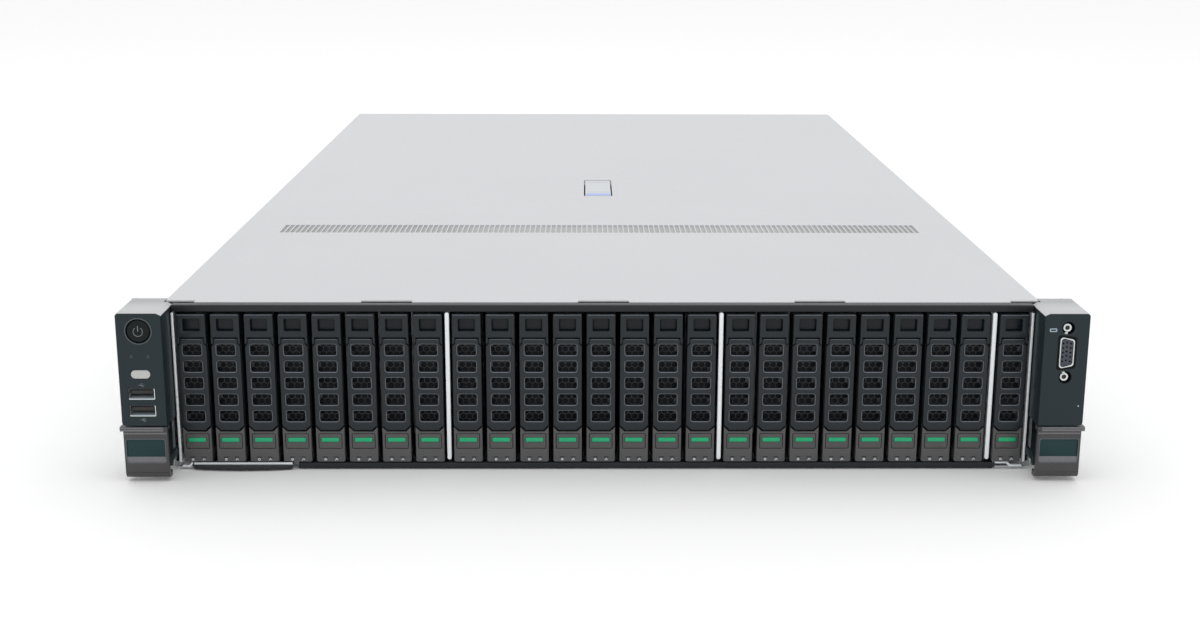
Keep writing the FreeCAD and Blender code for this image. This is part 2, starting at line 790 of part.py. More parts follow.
def ear_latch():
    """Right-hand latch: front skin curling under the pivot, finger lip, two cheeks."""
    y0 = ear_face
    top = ear_split - ear_latch_gap
    corner_y = y0 + ear_latch_corner
    corner_z = ear_bottom + ear_latch_corner

    def corner(radius, turns):
        points = []
        for turn in turns:
            slant = math.radians(turn)
            points.append((corner_y - radius * math.cos(slant), corner_z - radius * math.sin(slant)))
        return points

    end = pivot_y - ear_latch_end
    low = ear_bottom + ear_latch_wall
    skin = [(y0 + ear_latch_hook, top), (y0, top)] + corner(ear_latch_corner, (0, 30, 60, 90))
    skin += [(end, ear_bottom), (end, low)] + corner(ear_latch_corner - ear_latch_wall, (90, 0))
    skin += [(y0 + ear_latch_wall, top - ear_latch_lip), (y0 + ear_latch_hook, top - ear_latch_lip)]
    body = [prism_yz(skin, (ear_inner + face_gap, ear_outer - face_gap))]
    grip = box((ear_outer - 1, ear_outer + ear_latch_side), (y0, y0 + ear_latch_hook), (top - ear_latch_lip, top))
    body.append(grip)
    gap = ear_arm + run_gap
    for x in (ear_inner + gap, ear_outer - gap - cheek):
        web = [(y0 + ear_latch_wall - 0.5, pivot_z + 5.0), (y0 + ear_latch_wall - 0.5, corner_z), (corner_y, low - 0.5),
               (end - 0.2, low - 0.5), (pivot_y + 1.6, pivot_z - 1.6), (pivot_y + 2.2, pivot_z), (pivot_y, pivot_z + 2.2)]
        body.append(prism_yz(web, (x, x + cheek)))
    latch = join(body)
    bore = tube_x(pivot_y, pivot_z, ear_pin_radius + pin_fit, (ear_inner - 1, ear_outer + 1))
    return latch.cut(bore)


def power_button():
    x = -(ear_inner + power_offset)
    return [tube_y(x, power_z, power_radius, (ear_face - button_proud, ear_face + button_reach))]


def uid_button():
    x = -(ear_inner + uid_offset)
    return [stadium(x, uid_z, uid_length, uid_height, (ear_face - button_proud, ear_face + button_reach))]


# ---- Cover -----------------------------------------------------------------------------
def latch_hinge():
    y = front + latch_y + latch_length - latch_thickness / 2
    return (y, body_height - latch_thickness / 2)


def top_cover():
    plate = box((-wall_x, wall_x), (front + run_gap, rear), (wall_top, body_height))
    cuts = []
    for notch in range(notch_count):
        x = (notch - (notch_count - 1) / 2) * notch_pitch
        cuts.append(box(centred(x, notch_width), (front - 1, front + notch_depth), (wall_top - 1, body_height + 1)))
    for side in (-1, 1):
        edge = side * (wall_x - corner_notch / 2)
        cuts.append(box(centred(edge, corner_notch + 0.01), (front - 1, front + notch_depth),
                        (wall_top - 1, body_height + 1)))
    slot_count = int((body_width - 2 * vent_margin) / vent_pitch)
    for slot in range(slot_count):
        x = (slot - (slot_count - 1) / 2) * vent_pitch
        cuts.append(box(centred(x, vent_slot), (front + vent_y, front + vent_y + vent_length),
                        (wall_top - 1, body_height + 1)))
    half = latch_width / 2 + latch_pan_gap
    well_y = (front + latch_y - latch_pan_gap, front + latch_y + latch_length + latch_pan_gap)
    cuts.append(box((-half, half), well_y, (wall_top - 1, body_height + 1)))
    plate = plate.cut(cuts)
    skirt_x = inner_x - run_gap
    skirt = box((skirt_x - cover_sheet, skirt_x), (front + 12.0, rear - 12.0), (wall_top - skirt_height, wall_top))
    floor = latch_pan_floor
    pan = box((-half - cover_sheet, half + cover_sheet), (well_y[0] - cover_sheet, well_y[1] + cover_sheet),
              (floor - cover_sheet, wall_top))
    pan = pan.cut(box((-half, half), well_y, (floor, wall_top + 1)))
    y, z = latch_hinge()
    pin = tube_x(y, z, latch_pin_radius, (-half - 0.5, half + 0.5))
    return [plate, skirt, mirrored(skirt), join([pan, pin])]


def cover_latch():
    y, z = latch_hinge()
    low = body_height - latch_thickness
    start = front + latch_y
    profile = [(start, body_height), (start, low + 2.0), (start + 2.0, low), (start + 12.0, low),
               (start + 14.0, body_height - 2.4), (y - 8.0, body_height - 2.4), (y - 5.0, low), (y, low)]
    half = latch_width / 2
    for step in range(1, 6):
        turn = math.radians(-90 + 36 * step)
        profile.append((y + latch_thickness / 2 * math.cos(turn), z + latch_thickness / 2 * math.sin(turn)))
    lever = prism_yz(profile, (-half, half))
    bore = tube_x(y, z, latch_pin_radius + pin_fit, (-half - 1, half + 1))
    return [lever.cut(bore)]


# ---- Fans ------------------------------------------------------------------------------
def fan_centres():
    return [(fan - (fan_count - 1) / 2) * fan_pitch for fan in range(fan_count)]


def fan_cage():
    span = fan_count * fan_pitch / 2
    floor = box((-inner_x, inner_x), (fan_front - 4, fan_back + 4), (sheet, cage_floor))
    parts = [floor]
    for wall in range(fan_count + 1):
        x = -span + wall * fan_pitch
        parts.append(box(centred(x, cage_sheet), (fan_front - 4, fan_back + 4), (cage_floor, fan_z + fan_body_height / 2)))
    for y in (fan_front - 4, fan_back + 4 - cage_sheet):
        parts.append(box((-span, span), (y, y + cage_sheet), (cage_floor, cage_floor + 8)))
    return [join(parts)]


def faceted(x, radius, sides, y):
    """Flat-sided drum round a fan's axis; the radius is to the flats."""
    corners = []
    for corner in range(sides):
        turn = math.pi * (2 * corner + 1) / sides
        reach = radius / math.cos(math.pi / sides)
        corners.append((x + reach * math.cos(turn), fan_z + reach * math.sin(turn)))
    return prism_xz(corners, y)


def fan_housings():
    solids = []
    low = fan_z - fan_body_height / 2
    high = fan_z + fan_body_height / 2
    strut_y = (fan_back - strut_depth, fan_back)
    for x in fan_centres():
        shell = box(centred(x, fan_body), (fan_front, fan_back), (low, high))
        shell = shell.cut(faceted(x, fan_bore, 24, (fan_front - 1, fan_back + 1)))
        parts = [shell, faceted(x, fan_hub - 1.0, 8, strut_y)]
        parts.append(box(centred(x, 2 * fan_bore + 2), strut_y, centred(fan_z, strut_width)))
        parts.append(box(centred(x, strut_width), strut_y, centred(fan_z, 2 * fan_bore + 2)))
        handle_y = (fan_front + 14, fan_front + 22)
        loop = [(x - 16.0, high), (x - 12.0, high), (x - 12.0, high + fan_handle), (x + 12.0, high + fan_handle), (x + 12.0, high),
                (x + 16.0, high), (x + 16.0, high + fan_handle + 2), (x - 16.0, high + fan_handle + 2)]
        parts.append(prism_xz(loop, handle_y))
        solids.append(join(parts))
    return solids


def fan_rotor(x):
    """Hub with pitched flat blades that widen towards the tip."""
    start = fan_front + hub_setback
    hub = faceted(x, fan_hub - 0.5, 15, (start, fan_back - strut_depth - run_gap))
    boss = tube_y(x, fan_z, hub_boss, (start - hub_boss_rise, start + 1))
    middle = (start + fan_back - strut_depth - run_gap) / 2
    root = fan_hub - 2.0
    tip = fan_bore - blade_tip_gap
    reach = math.sqrt(tip ** 2 - (blade_chord / 2) ** 2)
    planform = [V(root, -blade_root / 2, 0), V(reach, -blade_chord / 2, 0), V(tip, 0, 0),
                V(reach, blade_chord / 2, 0), V(root, blade_root / 2, 0)]
    blade = prism(planform, V(0, 0, blade_thickness))
    blade.translate(V(0, 0, -blade_thickness / 2))
    blade.rotate(V(0, 0, 0), V(1, 0, 0), blade_pitch)
    blade.translate(V(x, middle, fan_z))
    blades = []
    for number in range(fan_blades):
        copy = blade.copy()
        copy.rotate(V(x, 0, fan_z), V(0, 1, 0), 360.0 * number / fan_blades)
        blades.append(copy)
    return [join([hub, boss] + blades)]


# ---- Board, heatsinks, memory, baffle --------------------------------------------------
def motherboard():
    xs = board_x()
    z = (board_height, board_top)
    left = bay_right + run_gap + 2.0
    wide_end = supply_front - tongue_gap
    board = join([box(xs, (board_front, wide_end), z), box((left, xs[1]), (wide_end - 1, rear - sheet), z)])
    solids = [board]
    for x, width, height in rear_jacks():
        shell = box(centred(x, width), (rear - jack_depth, rear + 0.5), (board_top, board_top + height))
        hollow = box(centred(x, width - 2 * jack_wall), (rear - jack_mouth, rear + 1),
                     (board_top + jack_wall, board_top + height - jack_wall))
        solids.append(shell.cut(hollow))
    for side in (-1, 1):
        x = side * cpu_x
        y = board_front + cpu_setback + sink_depth / 2
        side_length = sink_width - 2 * socket_inset
        solids.append(box(centred(x, side_length), centred(y, side_length), (board_top, board_top + socket_height)))
    plug_y = board_front + fan_plug_inset
    for place in (-1, 0, 1):
        solids.append(box(centred(place * fan_plug_pitch, fan_plug_width), (plug_y, plug_y + fan_plug_depth),
                          (board_top, board_top + fan_plug_height)))
    chip_y = supply_front + chip_setback
    solids.append(box(centred(bay_right + chip_offset, chip_side), centred(chip_y, chip_side),
                      (board_top, board_top + chip_height)))
    return solids


def cpu_heatsinks():
    solids = []
    low = board_top + socket_height
    y = board_front + cpu_setback
    for side in (-1, 1):
        left = side * cpu_x - sink_width / 2
        pitch = (sink_width - fin_thickness) / (sink_fins - 1)
        outline = [(left, low), (left + sink_width, low)]
        for fin in reversed(range(sink_fins)):
            x = left + pitch * fin
            high = sink_top
            outline += [(x + fin_thickness, low + sink_base), (x + fin_thickness, high), (x, high), (x, low + sink_base)]
        outline = [outline[0], outline[1]] + outline[3:-1]
        solids.append(prism_xz(outline, (y, y + sink_depth)))
    return solids


def memory_modules():
    solids = []
    y = board_front + cpu_setback - (dimm_length - sink_depth) / 2
    for side in (-1, 1):
        for bank in (-1, 1):
            for module in range(dimm_count):
                x = side * cpu_x + bank * (sink_width / 2 + dimm_gap + dimm_pitch * module)
                top = board_top + dimm_slot_height
                slot = box(centred(x, dimm_slot_width), (y - 6, y + dimm_length + 6), (board_top, top))
                card = box(centred(x, dimm_thickness), (y, y + dimm_length), (top, top + dimm_height - 4))
                solids.append(join([slot, card]))
    return solids


def air_baffle():
    half = inner_x - wall_gap
    high = baffle_top
    start = board_front + cpu_setback - 30.0
    y = (start, start + baffle_depth)
    roof = box((-half, half), y, (high, high + baffle_wall))
    parts = [roof]
    for x in (-half, -baffle_wall / 2, half - baffle_wall):
        parts.append(box((x, x + baffle_wall), y, (board_top, high)))
    for side in (-1, 1):
        x = side * cpu_x
        for bank in (-1, 1):
            wall = x + bank * (sink_width / 2 + baffle_clear)
            parts.append(box(centred(wall, baffle_wall), y, (board_top + dimm_slot_height + dimm_height, high)))
    return [join(parts)]


# ---- Power supplies --------------------------------------------------------------------
def supply_start(number):
    return supply_left + (number - 1) * (supply_width + 2 * run_gap + bay_sheet)


def supply(number):
    left = supply_start(number)
    case = box((left, left + supply_width), (supply_front + edge_length, rear), (supply_bottom, supply_top))
    inlet_x = left + inlet_offset
    inlet_z = supply_bottom + supply_height / 2
    well = box(centred(inlet_x, inlet_width), (rear - inlet_depth, rear + 1), centred(inlet_z, inlet_height))
    grille_x = left + supply_width * 0.64
    mouth = tube_y(grille_x, inlet_z, supply_grille, (rear - 8, rear + 1))
    case = case.cut([well, mouth])
    pins = []
    for x, z in ((-7.0, -2.0), (0.0, 3.0), (7.0, -2.0)):
        pins.append(box(centred(inlet_x + x, 2.0), (rear - inlet_depth, rear - inlet_depth / 2), centred(inlet_z + z, 5.0)))
    edge = box((left + 12, left + supply_width - 12), (supply_front + run_gap, supply_front + edge_length),
               centred(supply_bottom + 12, 1.6))
    grip_x = left + supply_width * 0.64
    grip = []
    for side in (-1, 1):
        grip.append(box(centred(grip_x + side * (handle_width + handle_bar) / 2, handle_bar), (rear, rear + handle_reach),
                        centred(supply_top - 5.0, 6.0)))
    grip.append(box(centred(grip_x, handle_width + 2 * handle_bar), (rear + handle_reach - handle_bar, rear + handle_reach),
                    centred(supply_top - 5.0, 6.0)))
    body = join([case] + pins + [edge])
    return [body, join(grip)]


def supply_pivot(number):
    right = supply_start(number) + supply_width
    return (right - 2.5, rear + 3.0)


def supply_latch(number):
    """Thumb lever that turns about Z beside the handle."""
    x, y = supply_pivot(number)
    z = centred(supply_bottom + supply_height / 2, supply_latch_height)
    low = z[0]
    pad = prism([V(x - 1.2, y - 1.5, low), V(x + 1.2, y - 1.5, low), V(x + 1.4, y + supply_latch_reach, low),
                 V(x - 4.0, y + supply_latch_reach, low), V(x - 4.0, y + supply_latch_reach - 3, low),
                 V(x - 1.2, y + supply_latch_reach - 6, low)], V(0, 0, z[1] - z[0]))
    corners = []
    for corner in range(8):
        turn = math.radians(22.5 + 45 * corner)
        corners.append(V(x + 2.4 * math.cos(turn), y + 2.4 * math.sin(turn), low))
    barrel = prism(corners, V(0, 0, z[1] - z[0]))
    bore = Part.makeCylinder(1.0 + pin_fit, z[1] - z[0] + 2, V(x, y, low - 1))
    return join([pad, barrel]).cut(bore)


def supply_latch_mount(number):
    x, y = supply_pivot(number)
    middle = supply_bottom + supply_height / 2
    half = supply_latch_height / 2
    pin = Part.makeCylinder(1.0, supply_latch_height + 4, V(x, y, middle - half - 2))
    parts = [pin]
    for side in (-1, 1):
        z = middle + side * (half + run_gap + 0.8)
        parts.append(box(centred(x, 4.4), (rear, y + 2.0), centred(z, 1.6)))
    return join(parts)


# ---- Riser cages -----------------------------------------------------------------------
def riser_cages():
    solids = []
    for left, bottom, slots in riser_places():
        high = bottom + slots * slot_pitch + 2 * cage_wall
        across = (left, left + slot_length + 2 * cage_wall)
        y = (rear - sheet - riser_depth, rear - sheet)
        cage = box(across, y, (bottom, high))
        room = box((across[0] + cage_wall, across[1] - cage_wall), (y[0] - 1, y[1] - cage_wall),
                   (bottom - 1, high - cage_wall))
        cage = cage.cut(room)
        cuts = []
        for slot in range(slots):
            z = bottom + cage_wall + slot_pitch * (slot + 0.5)
            cuts.append(box((across[0] + slot_inset, across[1] - slot_inset), (y[1] - 2, y[1] + 1), centred(z, slot_gap)))
        solids.append(cage.cut(cuts))
        card_x = across[0] + cage_wall
        card_y = y[0] + card_inset
        solids.append(box((card_x, card_x + card_thickness), (card_y, card_y + card_length), (bottom + 1, high - cage_wall)))
    return solids


# ---- Build -----------------------------------------------------------------------------
os.makedirs("parts", exist_ok=True)

save("chassis_base", chassis_base())
save("rear_panel", rear_panel())
save("front_frame", front_frame())
save("drive_cage", drive_cage())
save("drive_backplane", drive_backplane())
save("label_tab", label_tab())
save("left_ear", left_ear())
save("right_ear", right_ear())
save("front_ports", front_ports())
save("captive_screws", captive_screws())
save("right_ear_latch", [ear_latch()])
save("left_ear_latch", [mirrored(ear_latch())])
save("power_button", power_button())
save("uid_button", uid_button())
save("top_cover", top_cover())
save("cover_latch", cover_latch())
save("fan_cage", fan_cage())
save("fan_housings", fan_housings())
save("motherboard", motherboard())
save("cpu_heatsinks", cpu_heatsinks())
save("memory_modules", memory_modules())
save("air_baffle", air_baffle())
save("riser_cages", riser_cages())

for number, centre in enumerate(fan_centres(), 1):
    save("fan_rotor_" + str(number), fan_rotor(centre))

for number in (1, 2):
    save("psu_" + str(number), supply(number) + [supply_latch_mount(number)])
    save("psu_" + str(number) + "_latch", [supply_latch(number)])

for number, centre in enumerate(bay_centres(), 1):
    name = "drive_%02d" % number
    if number < bay_count:
        save(name, drive_carrier(centre, False) + [drive_lever(centre, False)] + release_button(centre))
    else:
        save(name, drive_carrier(centre, True))
        save(name + "_lever", [drive_lever(centre, True)])
        save(name + "_button", release_button(centre))
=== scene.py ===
from math import cos, hypot, pi, radians, sin, sqrt

import bmesh
import bpy
from mathutils import Matrix, Vector


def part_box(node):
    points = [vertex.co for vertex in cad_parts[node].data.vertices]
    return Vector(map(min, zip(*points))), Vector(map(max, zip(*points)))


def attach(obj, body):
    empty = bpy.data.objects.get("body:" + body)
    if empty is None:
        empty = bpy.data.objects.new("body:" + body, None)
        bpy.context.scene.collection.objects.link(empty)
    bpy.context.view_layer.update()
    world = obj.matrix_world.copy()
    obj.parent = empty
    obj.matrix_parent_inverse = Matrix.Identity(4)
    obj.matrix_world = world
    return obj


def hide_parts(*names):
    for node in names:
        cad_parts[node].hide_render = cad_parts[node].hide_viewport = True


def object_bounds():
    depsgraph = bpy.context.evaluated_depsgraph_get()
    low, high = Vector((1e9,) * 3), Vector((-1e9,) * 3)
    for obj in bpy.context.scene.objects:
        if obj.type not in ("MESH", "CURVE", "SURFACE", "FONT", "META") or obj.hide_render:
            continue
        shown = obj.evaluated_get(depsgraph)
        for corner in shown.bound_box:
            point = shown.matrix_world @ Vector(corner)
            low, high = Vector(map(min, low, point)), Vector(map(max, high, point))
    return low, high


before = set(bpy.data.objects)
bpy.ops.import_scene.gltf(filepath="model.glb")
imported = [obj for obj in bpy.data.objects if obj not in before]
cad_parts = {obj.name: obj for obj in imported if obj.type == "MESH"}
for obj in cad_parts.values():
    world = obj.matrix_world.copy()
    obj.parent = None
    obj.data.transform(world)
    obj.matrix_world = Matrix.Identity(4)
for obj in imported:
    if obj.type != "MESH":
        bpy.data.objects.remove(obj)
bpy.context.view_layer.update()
MM = 0.001


# ---- Materials -------------------------------------------
def srgb(r, g, b):
    def lin(c):
        c /= 255
        return c / 12.92 if c <= 0.04045 else ((c + 0.055) / 1.055) ** 2.4
    return (lin(r), lin(g), lin(b))


def wire(tree, target, values):
    """Sets the inputs of a node, or links them where the value is another node's output."""
    for key, value in values.items():
        if isinstance(value, bpy.types.NodeSocket):
            tree.links.new(value, target.inputs[key])
        else:
            target.inputs[key].default_value = value


def shader_node(tree, kind, values, **settings):
    made = tree.nodes.new("ShaderNode" + kind)
    for key, value in settings.items():
        setattr(made, key, value)
    wire(tree, made, values)
    return made.outputs


def material(name, rgb, rough, metal=0, vary=0.08, grain=600, bump=0.02, specular=0.5,
             stretch=(1, 1, 1), rough_vary=0.08, fade=None):
    """Principled surface whose colour, roughness and fine relief come from noise in object space."""
    made = bpy.data.materials.new(name)
    made.use_nodes = True
    tree = made.node_tree
    where = shader_node(tree, "TexCoord", {})["Object"]
    scaled = shader_node(tree, "Mapping", {"Vector": where, "Scale": stretch})["Vector"]

    def noise(size, detail):
        return shader_node(tree, "TexNoise", {"Scale": size, "Detail": detail, "Vector": scaled})["Fac"]

    def ramp(source, low, high, start=0.3, end=0.7):
        values = {"Value": source, "From Min": start, "From Max": end, "To Min": low, "To Max": high}
        return shader_node(tree, "MapRange", values)["Result"]

    def blend(factor, first, second):
        return shader_node(tree, "Mix", {0: factor, 6: first, 7: second}, data_type="RGBA")[2]

    fine = noise(grain, 2)
    both = {0: fine, 1: 0.45, 2: ramp(noise(9, 4), 0, 0.55)}
    dark = tuple(c * (1 - vary) for c in srgb(*rgb)) + (1,)
    light = tuple(min(1, c * (1 + vary)) for c in srgb(*rgb)) + (1,)
    tint = blend(shader_node(tree, "Math", both, operation="MULTIPLY_ADD")["Value"], dark, light)
    if fade:
        axis, start, end, far = fade
        along = shader_node(tree, "SeparateXYZ", {"Vector": where})[axis]
        tint = blend(ramp(along, 0, 1, start, end), tint, srgb(*far) + (1,))
    values = {"Metallic": metal, "Specular IOR Level": specular, "Base Color": tint,
              "Roughness": ramp(fine, max(0.02, rough - rough_vary), min(1, rough + rough_vary))}
    if bump:
        relief = {"Strength": min(1, bump * 10), "Distance": 0.0001, "Height": fine}
        values["Normal"] = shader_node(tree, "Bump", relief)["Normal"]
    wire(tree, tree.nodes["Principled BSDF"], values)
    return made


LOOKS = {
    "cover_metal": ((199, 200, 203), 0.5, 0, 0.015, 900, 0.01, 0.3),
    "galvanised": ((176, 179, 181), 0.38, 0.8, 0.1, 140, 0.01),
    "bright_metal": ((226, 229, 231), 0.32, 0.15, 0.03, 200, 0),
    "frame_paint": ((28, 31, 34), 0.4, 0, 0.08, 1500, 0.03, 0.3),
    # painted light: the frame bar's top face in a lighter grey than its front
    "frame_top_painted_light": ((62, 65, 69), 0.4, 0, 0.08, 1500, 0.03, 0.3),
    "carrier_plastic": ((32, 38, 42), 0.38, 0, 0.1, 1800, 0.03, 0.25),
    "carrier_low": ((80, 80, 81), 0.42, 0, 0.08, 1800, 0.03, 0.25),
    "lever_plastic": ((35, 40, 44), 0.36, 0, 0.1, 1800, 0.03, 0.25),
    # painted highlight: light plastic strips laid on edges where light catches them
    "painted_highlight_plastic": ((122, 128, 138), 0.35, 0, 0.06, 900, 0.01, 0.3),
    # painted shade: near-black sheets in holes, gaps, grooves and slots
    "painted_shade_dark": ((10, 11, 13), 0.7, 0, 0.2, 900, 0.02, 0.15),
    # painted shade: near-black back of the carrier's top recess
    "recess_painted_shade": ((8, 15, 22), 0.3, 0, 0.12, 300, 0.01, 0.25),
    "screen_metal": ((70, 72, 75), 0.4, 0.2, 0.12, 800),
    # painted shade: a dark grey backing that stands for the shaded inside of the carrier
    "painted_shade_backing": ((44, 46, 49), 0.6, 0, 0.15, 900, 0.02, 0.2),
    "green_bar": ((30, 160, 110), 0.3, 0, 0.08, 700, 0.01, 0.3),
    "icon_white": ((225, 226, 228), 0.5, 0, 0.03, 900),
    # printed icons, and also a painted glint in the USB ports
    "icon_print_and_painted_glint": ((150, 166, 176), 0.5, 0, 0.05, 900),
    "icon_grey": ((120, 128, 134), 0.5, 0, 0.05, 900),
    "icon_dim": ((58, 70, 78), 0.5, 0, 0.05, 900),
    "ear_plastic": ((28, 40, 44), 0.38, 0, 0.08, 1600, 0.03, 0.25),
    # painted highlight: light grey bands on the ear latch's lip, below it and at the window's lower edge
    "latch_painted_highlight": ((106, 107, 110), 0.32, 0, 0.06, 900, 0.01, 0.3),
    "latch_plastic": ((64, 63, 64), 0.34, 0, 0.07, 1600, 0.03, 0.35),
    "latch_window": ((20, 50, 52), 0.2, 0, 0.1, 120, 0, 0.25),
    "button_gloss": ((7, 13, 14), 0.2, 0, 0.12, 400, 0.01, 0.2),
    "ring_plastic": ((74, 82, 87), 0.2, 0.3),
    # painted sheen on the ears' top faces: light grey at the front, darker towards the back
    "ear_top_painted_sheen": ((186, 188, 189), 0.4, 0, 0.01, 1200, 0.01, 0.3, (1, 1, 1), 0.08,
                      (1, -0.022, 0.002, (150, 152, 153))),
    "symbol_teal": ((104, 124, 122), 0.4, 0, 0.05, 900, 0.02, 0.3),
    "pill_silver": ((178, 180, 178), 0.3, 0.1, 0.04, 500),
    "nickel": ((206, 212, 210), 0.22, 0.85, 0.06, 300, 0.01),
    "gold": ((212, 172, 92), 0.28, 1, 0.06, 300),
    "ivory": ((222, 218, 204), 0.4, 0, 0.05, 900, 0.01, 0.3),
    "chip_black": ((24, 25, 27), 0.45, 0, 0.15, 700, 0.01, 0.3),
    "can_metal": ((170, 172, 176), 0.3, 0.8, 0.08, 400),
    "amber": ((206, 140, 40), 0.35, 0, 0.06, 700),
    "touch_dark": ((28, 62, 120), 0.4, 0, 0.08, 900, 0.02, 0.3),
    "port_face": ((62, 66, 74), 0.4, 0, 0.12, 900, 0.02, 0.3),
    # black connector plastic, and also painted shade on USB rims and in screw holes
    "port_black": ((22, 23, 25), 0.4, 0, 0.12, 900),
    "latch_blue": ((150, 172, 226), 0.35, 0, 0.04, 900),
    "latch_grey": ((196, 199, 204), 0.38, 0.15, 0.03, 900),
    "board_green": ((22, 84, 50), 0.35, 0, 0.25, 260, 0.03),
    "memory_green": ((24, 92, 60), 0.4, 0, 0.2, 300, 0.03),
    "fin_metal": ((206, 208, 210), 0.3, 0.95, 0.06, 300, 0.02, 0.5, (1, 0.1, 1)),
    "baffle_plastic": ((42, 43, 46), 0.42, 0, 0.12, 1200, 0.04),
    "fan_plastic": ((34, 35, 38), 0.45, 0, 0.12, 1200, 0.04),
    "rotor_plastic": ((48, 49, 52), 0.35, 0, 0.12, 900, 0.03),
    "supply_metal": ((184, 187, 190), 0.35, 0.9, 0.08, 240, 0.02, 0.5, (1, 0.2, 1)),
    "disk_metal": ((168, 171, 174), 0.35, 0.9, 0.08, 240),
    "grip_plastic": ((30, 31, 33), 0.45, 0, 0.12, 1200, 0.04),
    "release_green": ((40, 150, 92), 0.35, 0, 0.08, 900),
    # painted highlight: lighter rims round the lever and latch windows and along the lever's top edge
    "painted_rim_highlight": ((92, 98, 104), 0.3, 0, 0.06, 900, 0.01, 0.3),
    "vent_mesh": ((163, 165, 164), 0.5, 0, 0.26, 1400, 0.04, 0.3),
    "tab_plastic": ((34, 36, 38), 0.34, 0, 0.08, 1200, 0.02, 0.35),
}
MATERIALS = {name: material(name, *look) for name, look in LOOKS.items()}


# ---- Mesh making (millimetres in, metres out) ------------
AXES = {
    "xz": Matrix(((1, 0, 0, 0), (0, 0, 1, 0), (0, 1, 0, 0), (0, 0, 0, 1))),
    "xy": Matrix.Identity(4),
    "yz": Matrix(((0, 0, 1, 0), (1, 0, 0, 0), (0, 1, 0, 0), (0, 0, 0, 1))),
}


class Kit:
    """Collects meshes with materials into one object."""

    def __init__(self):
        self.bm = bmesh.new()
        self.mats = []

    def add(self, mesh, mat):
        if mat not in self.mats:
            self.mats.append(mat)
        index = self.mats.index(mat)
        before = len(self.bm.faces)
        self.bm.from_mesh(mesh)
        self.bm.faces.ensure_lookup_table()
        for face in self.bm.faces[before:]:
            face.material_index = index
        bpy.data.meshes.remove(mesh)

    def block(self, mat, x, y, z, bevel=0.2, segments=2):
        bm = bmesh.new()
        bmesh.ops.create_cube(bm, size=1)
        size = Vector((x[1] - x[0], y[1] - y[0], z[1] - z[0]))
        centre = Vector(((x[0] + x[1]) / 2, (y[0] + y[1]) / 2, (z[0] + z[1]) / 2))
        for v in bm.verts:
            v.co = Vector((v.co.x * size.x, v.co.y * size.y, v.co.z * size.z)) + centre
        bevel = min(bevel, 0.45 * min(size))
        if bevel > 0:
            bmesh.ops.bevel(bm, geom=bm.edges[:], offset=bevel, segments=segments, affect="EDGES",
                            profile=0.5)
        self.add(finished(bm, "block"), mat)

    def plate(self, mat, loops, span, bevel=0.2, res=2, plane="xz"):
        """Flat piece with holes: outlines in a plane, thickness along the third axis, rounded rims."""
        thick = span[1] - span[0]
        bevel = min(bevel, thick * 0.45)
        data = bpy.data.curves.new("plate", "CURVE")
        data.dimensions = "2D"
        data.fill_mode = "BOTH"
        data.extrude = thick / 2 - bevel
        data.bevel_depth = bevel
        data.bevel_resolution = res
        data.offset = -bevel
        for loop in loops:
            spline = data.splines.new("POLY")
            spline.points.add(len(loop) - 1)
            for point, (a, b) in zip(spline.points, loop):
                point.co = (a, b, 0, 1)
            spline.use_cyclic_u = True
        obj = bpy.data.objects.new("plate", data)
        mesh = bpy.data.meshes.new_from_object(obj)
        bpy.data.objects.remove(obj)
        bpy.data.curves.remove(data)
        mesh.transform(Matrix.Translation((0, 0, (span[0] + span[1]) / 2)))
        mesh.transform(AXES[plane])
        if AXES[plane].to_3x3().determinant() < 0:
            mesh.flip_normals()
        bm = bmesh.new()
        bm.from_mesh(mesh)
        bmesh.ops.remove_doubles(bm, verts=bm.verts, dist=0.0005)
        bm.to_mesh(mesh)
        bm.free()
        self.add(mesh, mat)

    def turned(self, mat, profile, centre, axis="y", segments=40):
        """Profile of (radius, place along the axis) spun round the axis through a centre."""
        bm = bmesh.new()
        rings = []
        for radius, along in profile:
            ring = []
            for k in range(segments):
                turn = 2 * pi * k / segments
                a, b = radius * cos(turn), radius * sin(turn)
                co = [centre[0] + a, centre[1] + b]
                co.insert("xyz".index(axis), along)
                ring.append(bm.verts.new(co))
            rings.append(ring)
        for low, high in zip(rings, rings[1:]):
            for k in range(segments):
                n = (k + 1) % segments
                bm.faces.new((low[k], low[n], high[n], high[k]))
        if profile[0][0] > 1e-6:
            bm.faces.new(rings[0])
        if profile[-1][0] > 1e-6:
            bm.faces.new(rings[-1])
        bmesh.ops.remove_doubles(bm, verts=bm.verts, dist=1e-5)
        bmesh.ops.recalc_face_normals(bm, faces=bm.faces)
        self.add(finished(bm, "turned"), mat)

    def rod(self, mat, centre, radius, span, axis="y", bevel=0.2, segments=32):
        bevel = min(bevel, radius * 0.4, (span[1] - span[0]) * 0.4)
        profile = [(0, span[0]), (radius - bevel, span[0]), (radius, span[0] + bevel),
                   (radius, span[1] - bevel),
                   (radius - bevel, span[1]), (0, span[1])]
        self.turned(mat, profile, centre, axis, segments)

    def mesh(self, name):
        mesh = bpy.data.meshes.new(name)
        self.bm.to_mesh(mesh)
        self.bm.free()
        for mat in self.mats:
            mesh.materials.append(MATERIALS[mat])
        mesh.transform(Matrix.Scale(MM, 4))
        mesh.polygons.foreach_set("use_smooth", [True] * len(mesh.polygons))
        mesh.set_sharp_from_angle(angle=radians(32))
        return mesh

    def piece(self, node, body="chassis"):
        name = node + "_dressed"
        place(bpy.data.objects.new(name, self.mesh(name)), body, node)


def place(obj, body, node):
    bpy.context.scene.collection.objects.link(obj)
    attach(obj, body)
    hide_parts(node)


def finished(bm, name):
    """The mesh of a bmesh, which is freed."""
    mesh = bpy.data.meshes.new(name)
    bm.to_mesh(mesh)
    bm.free()
    return mesh


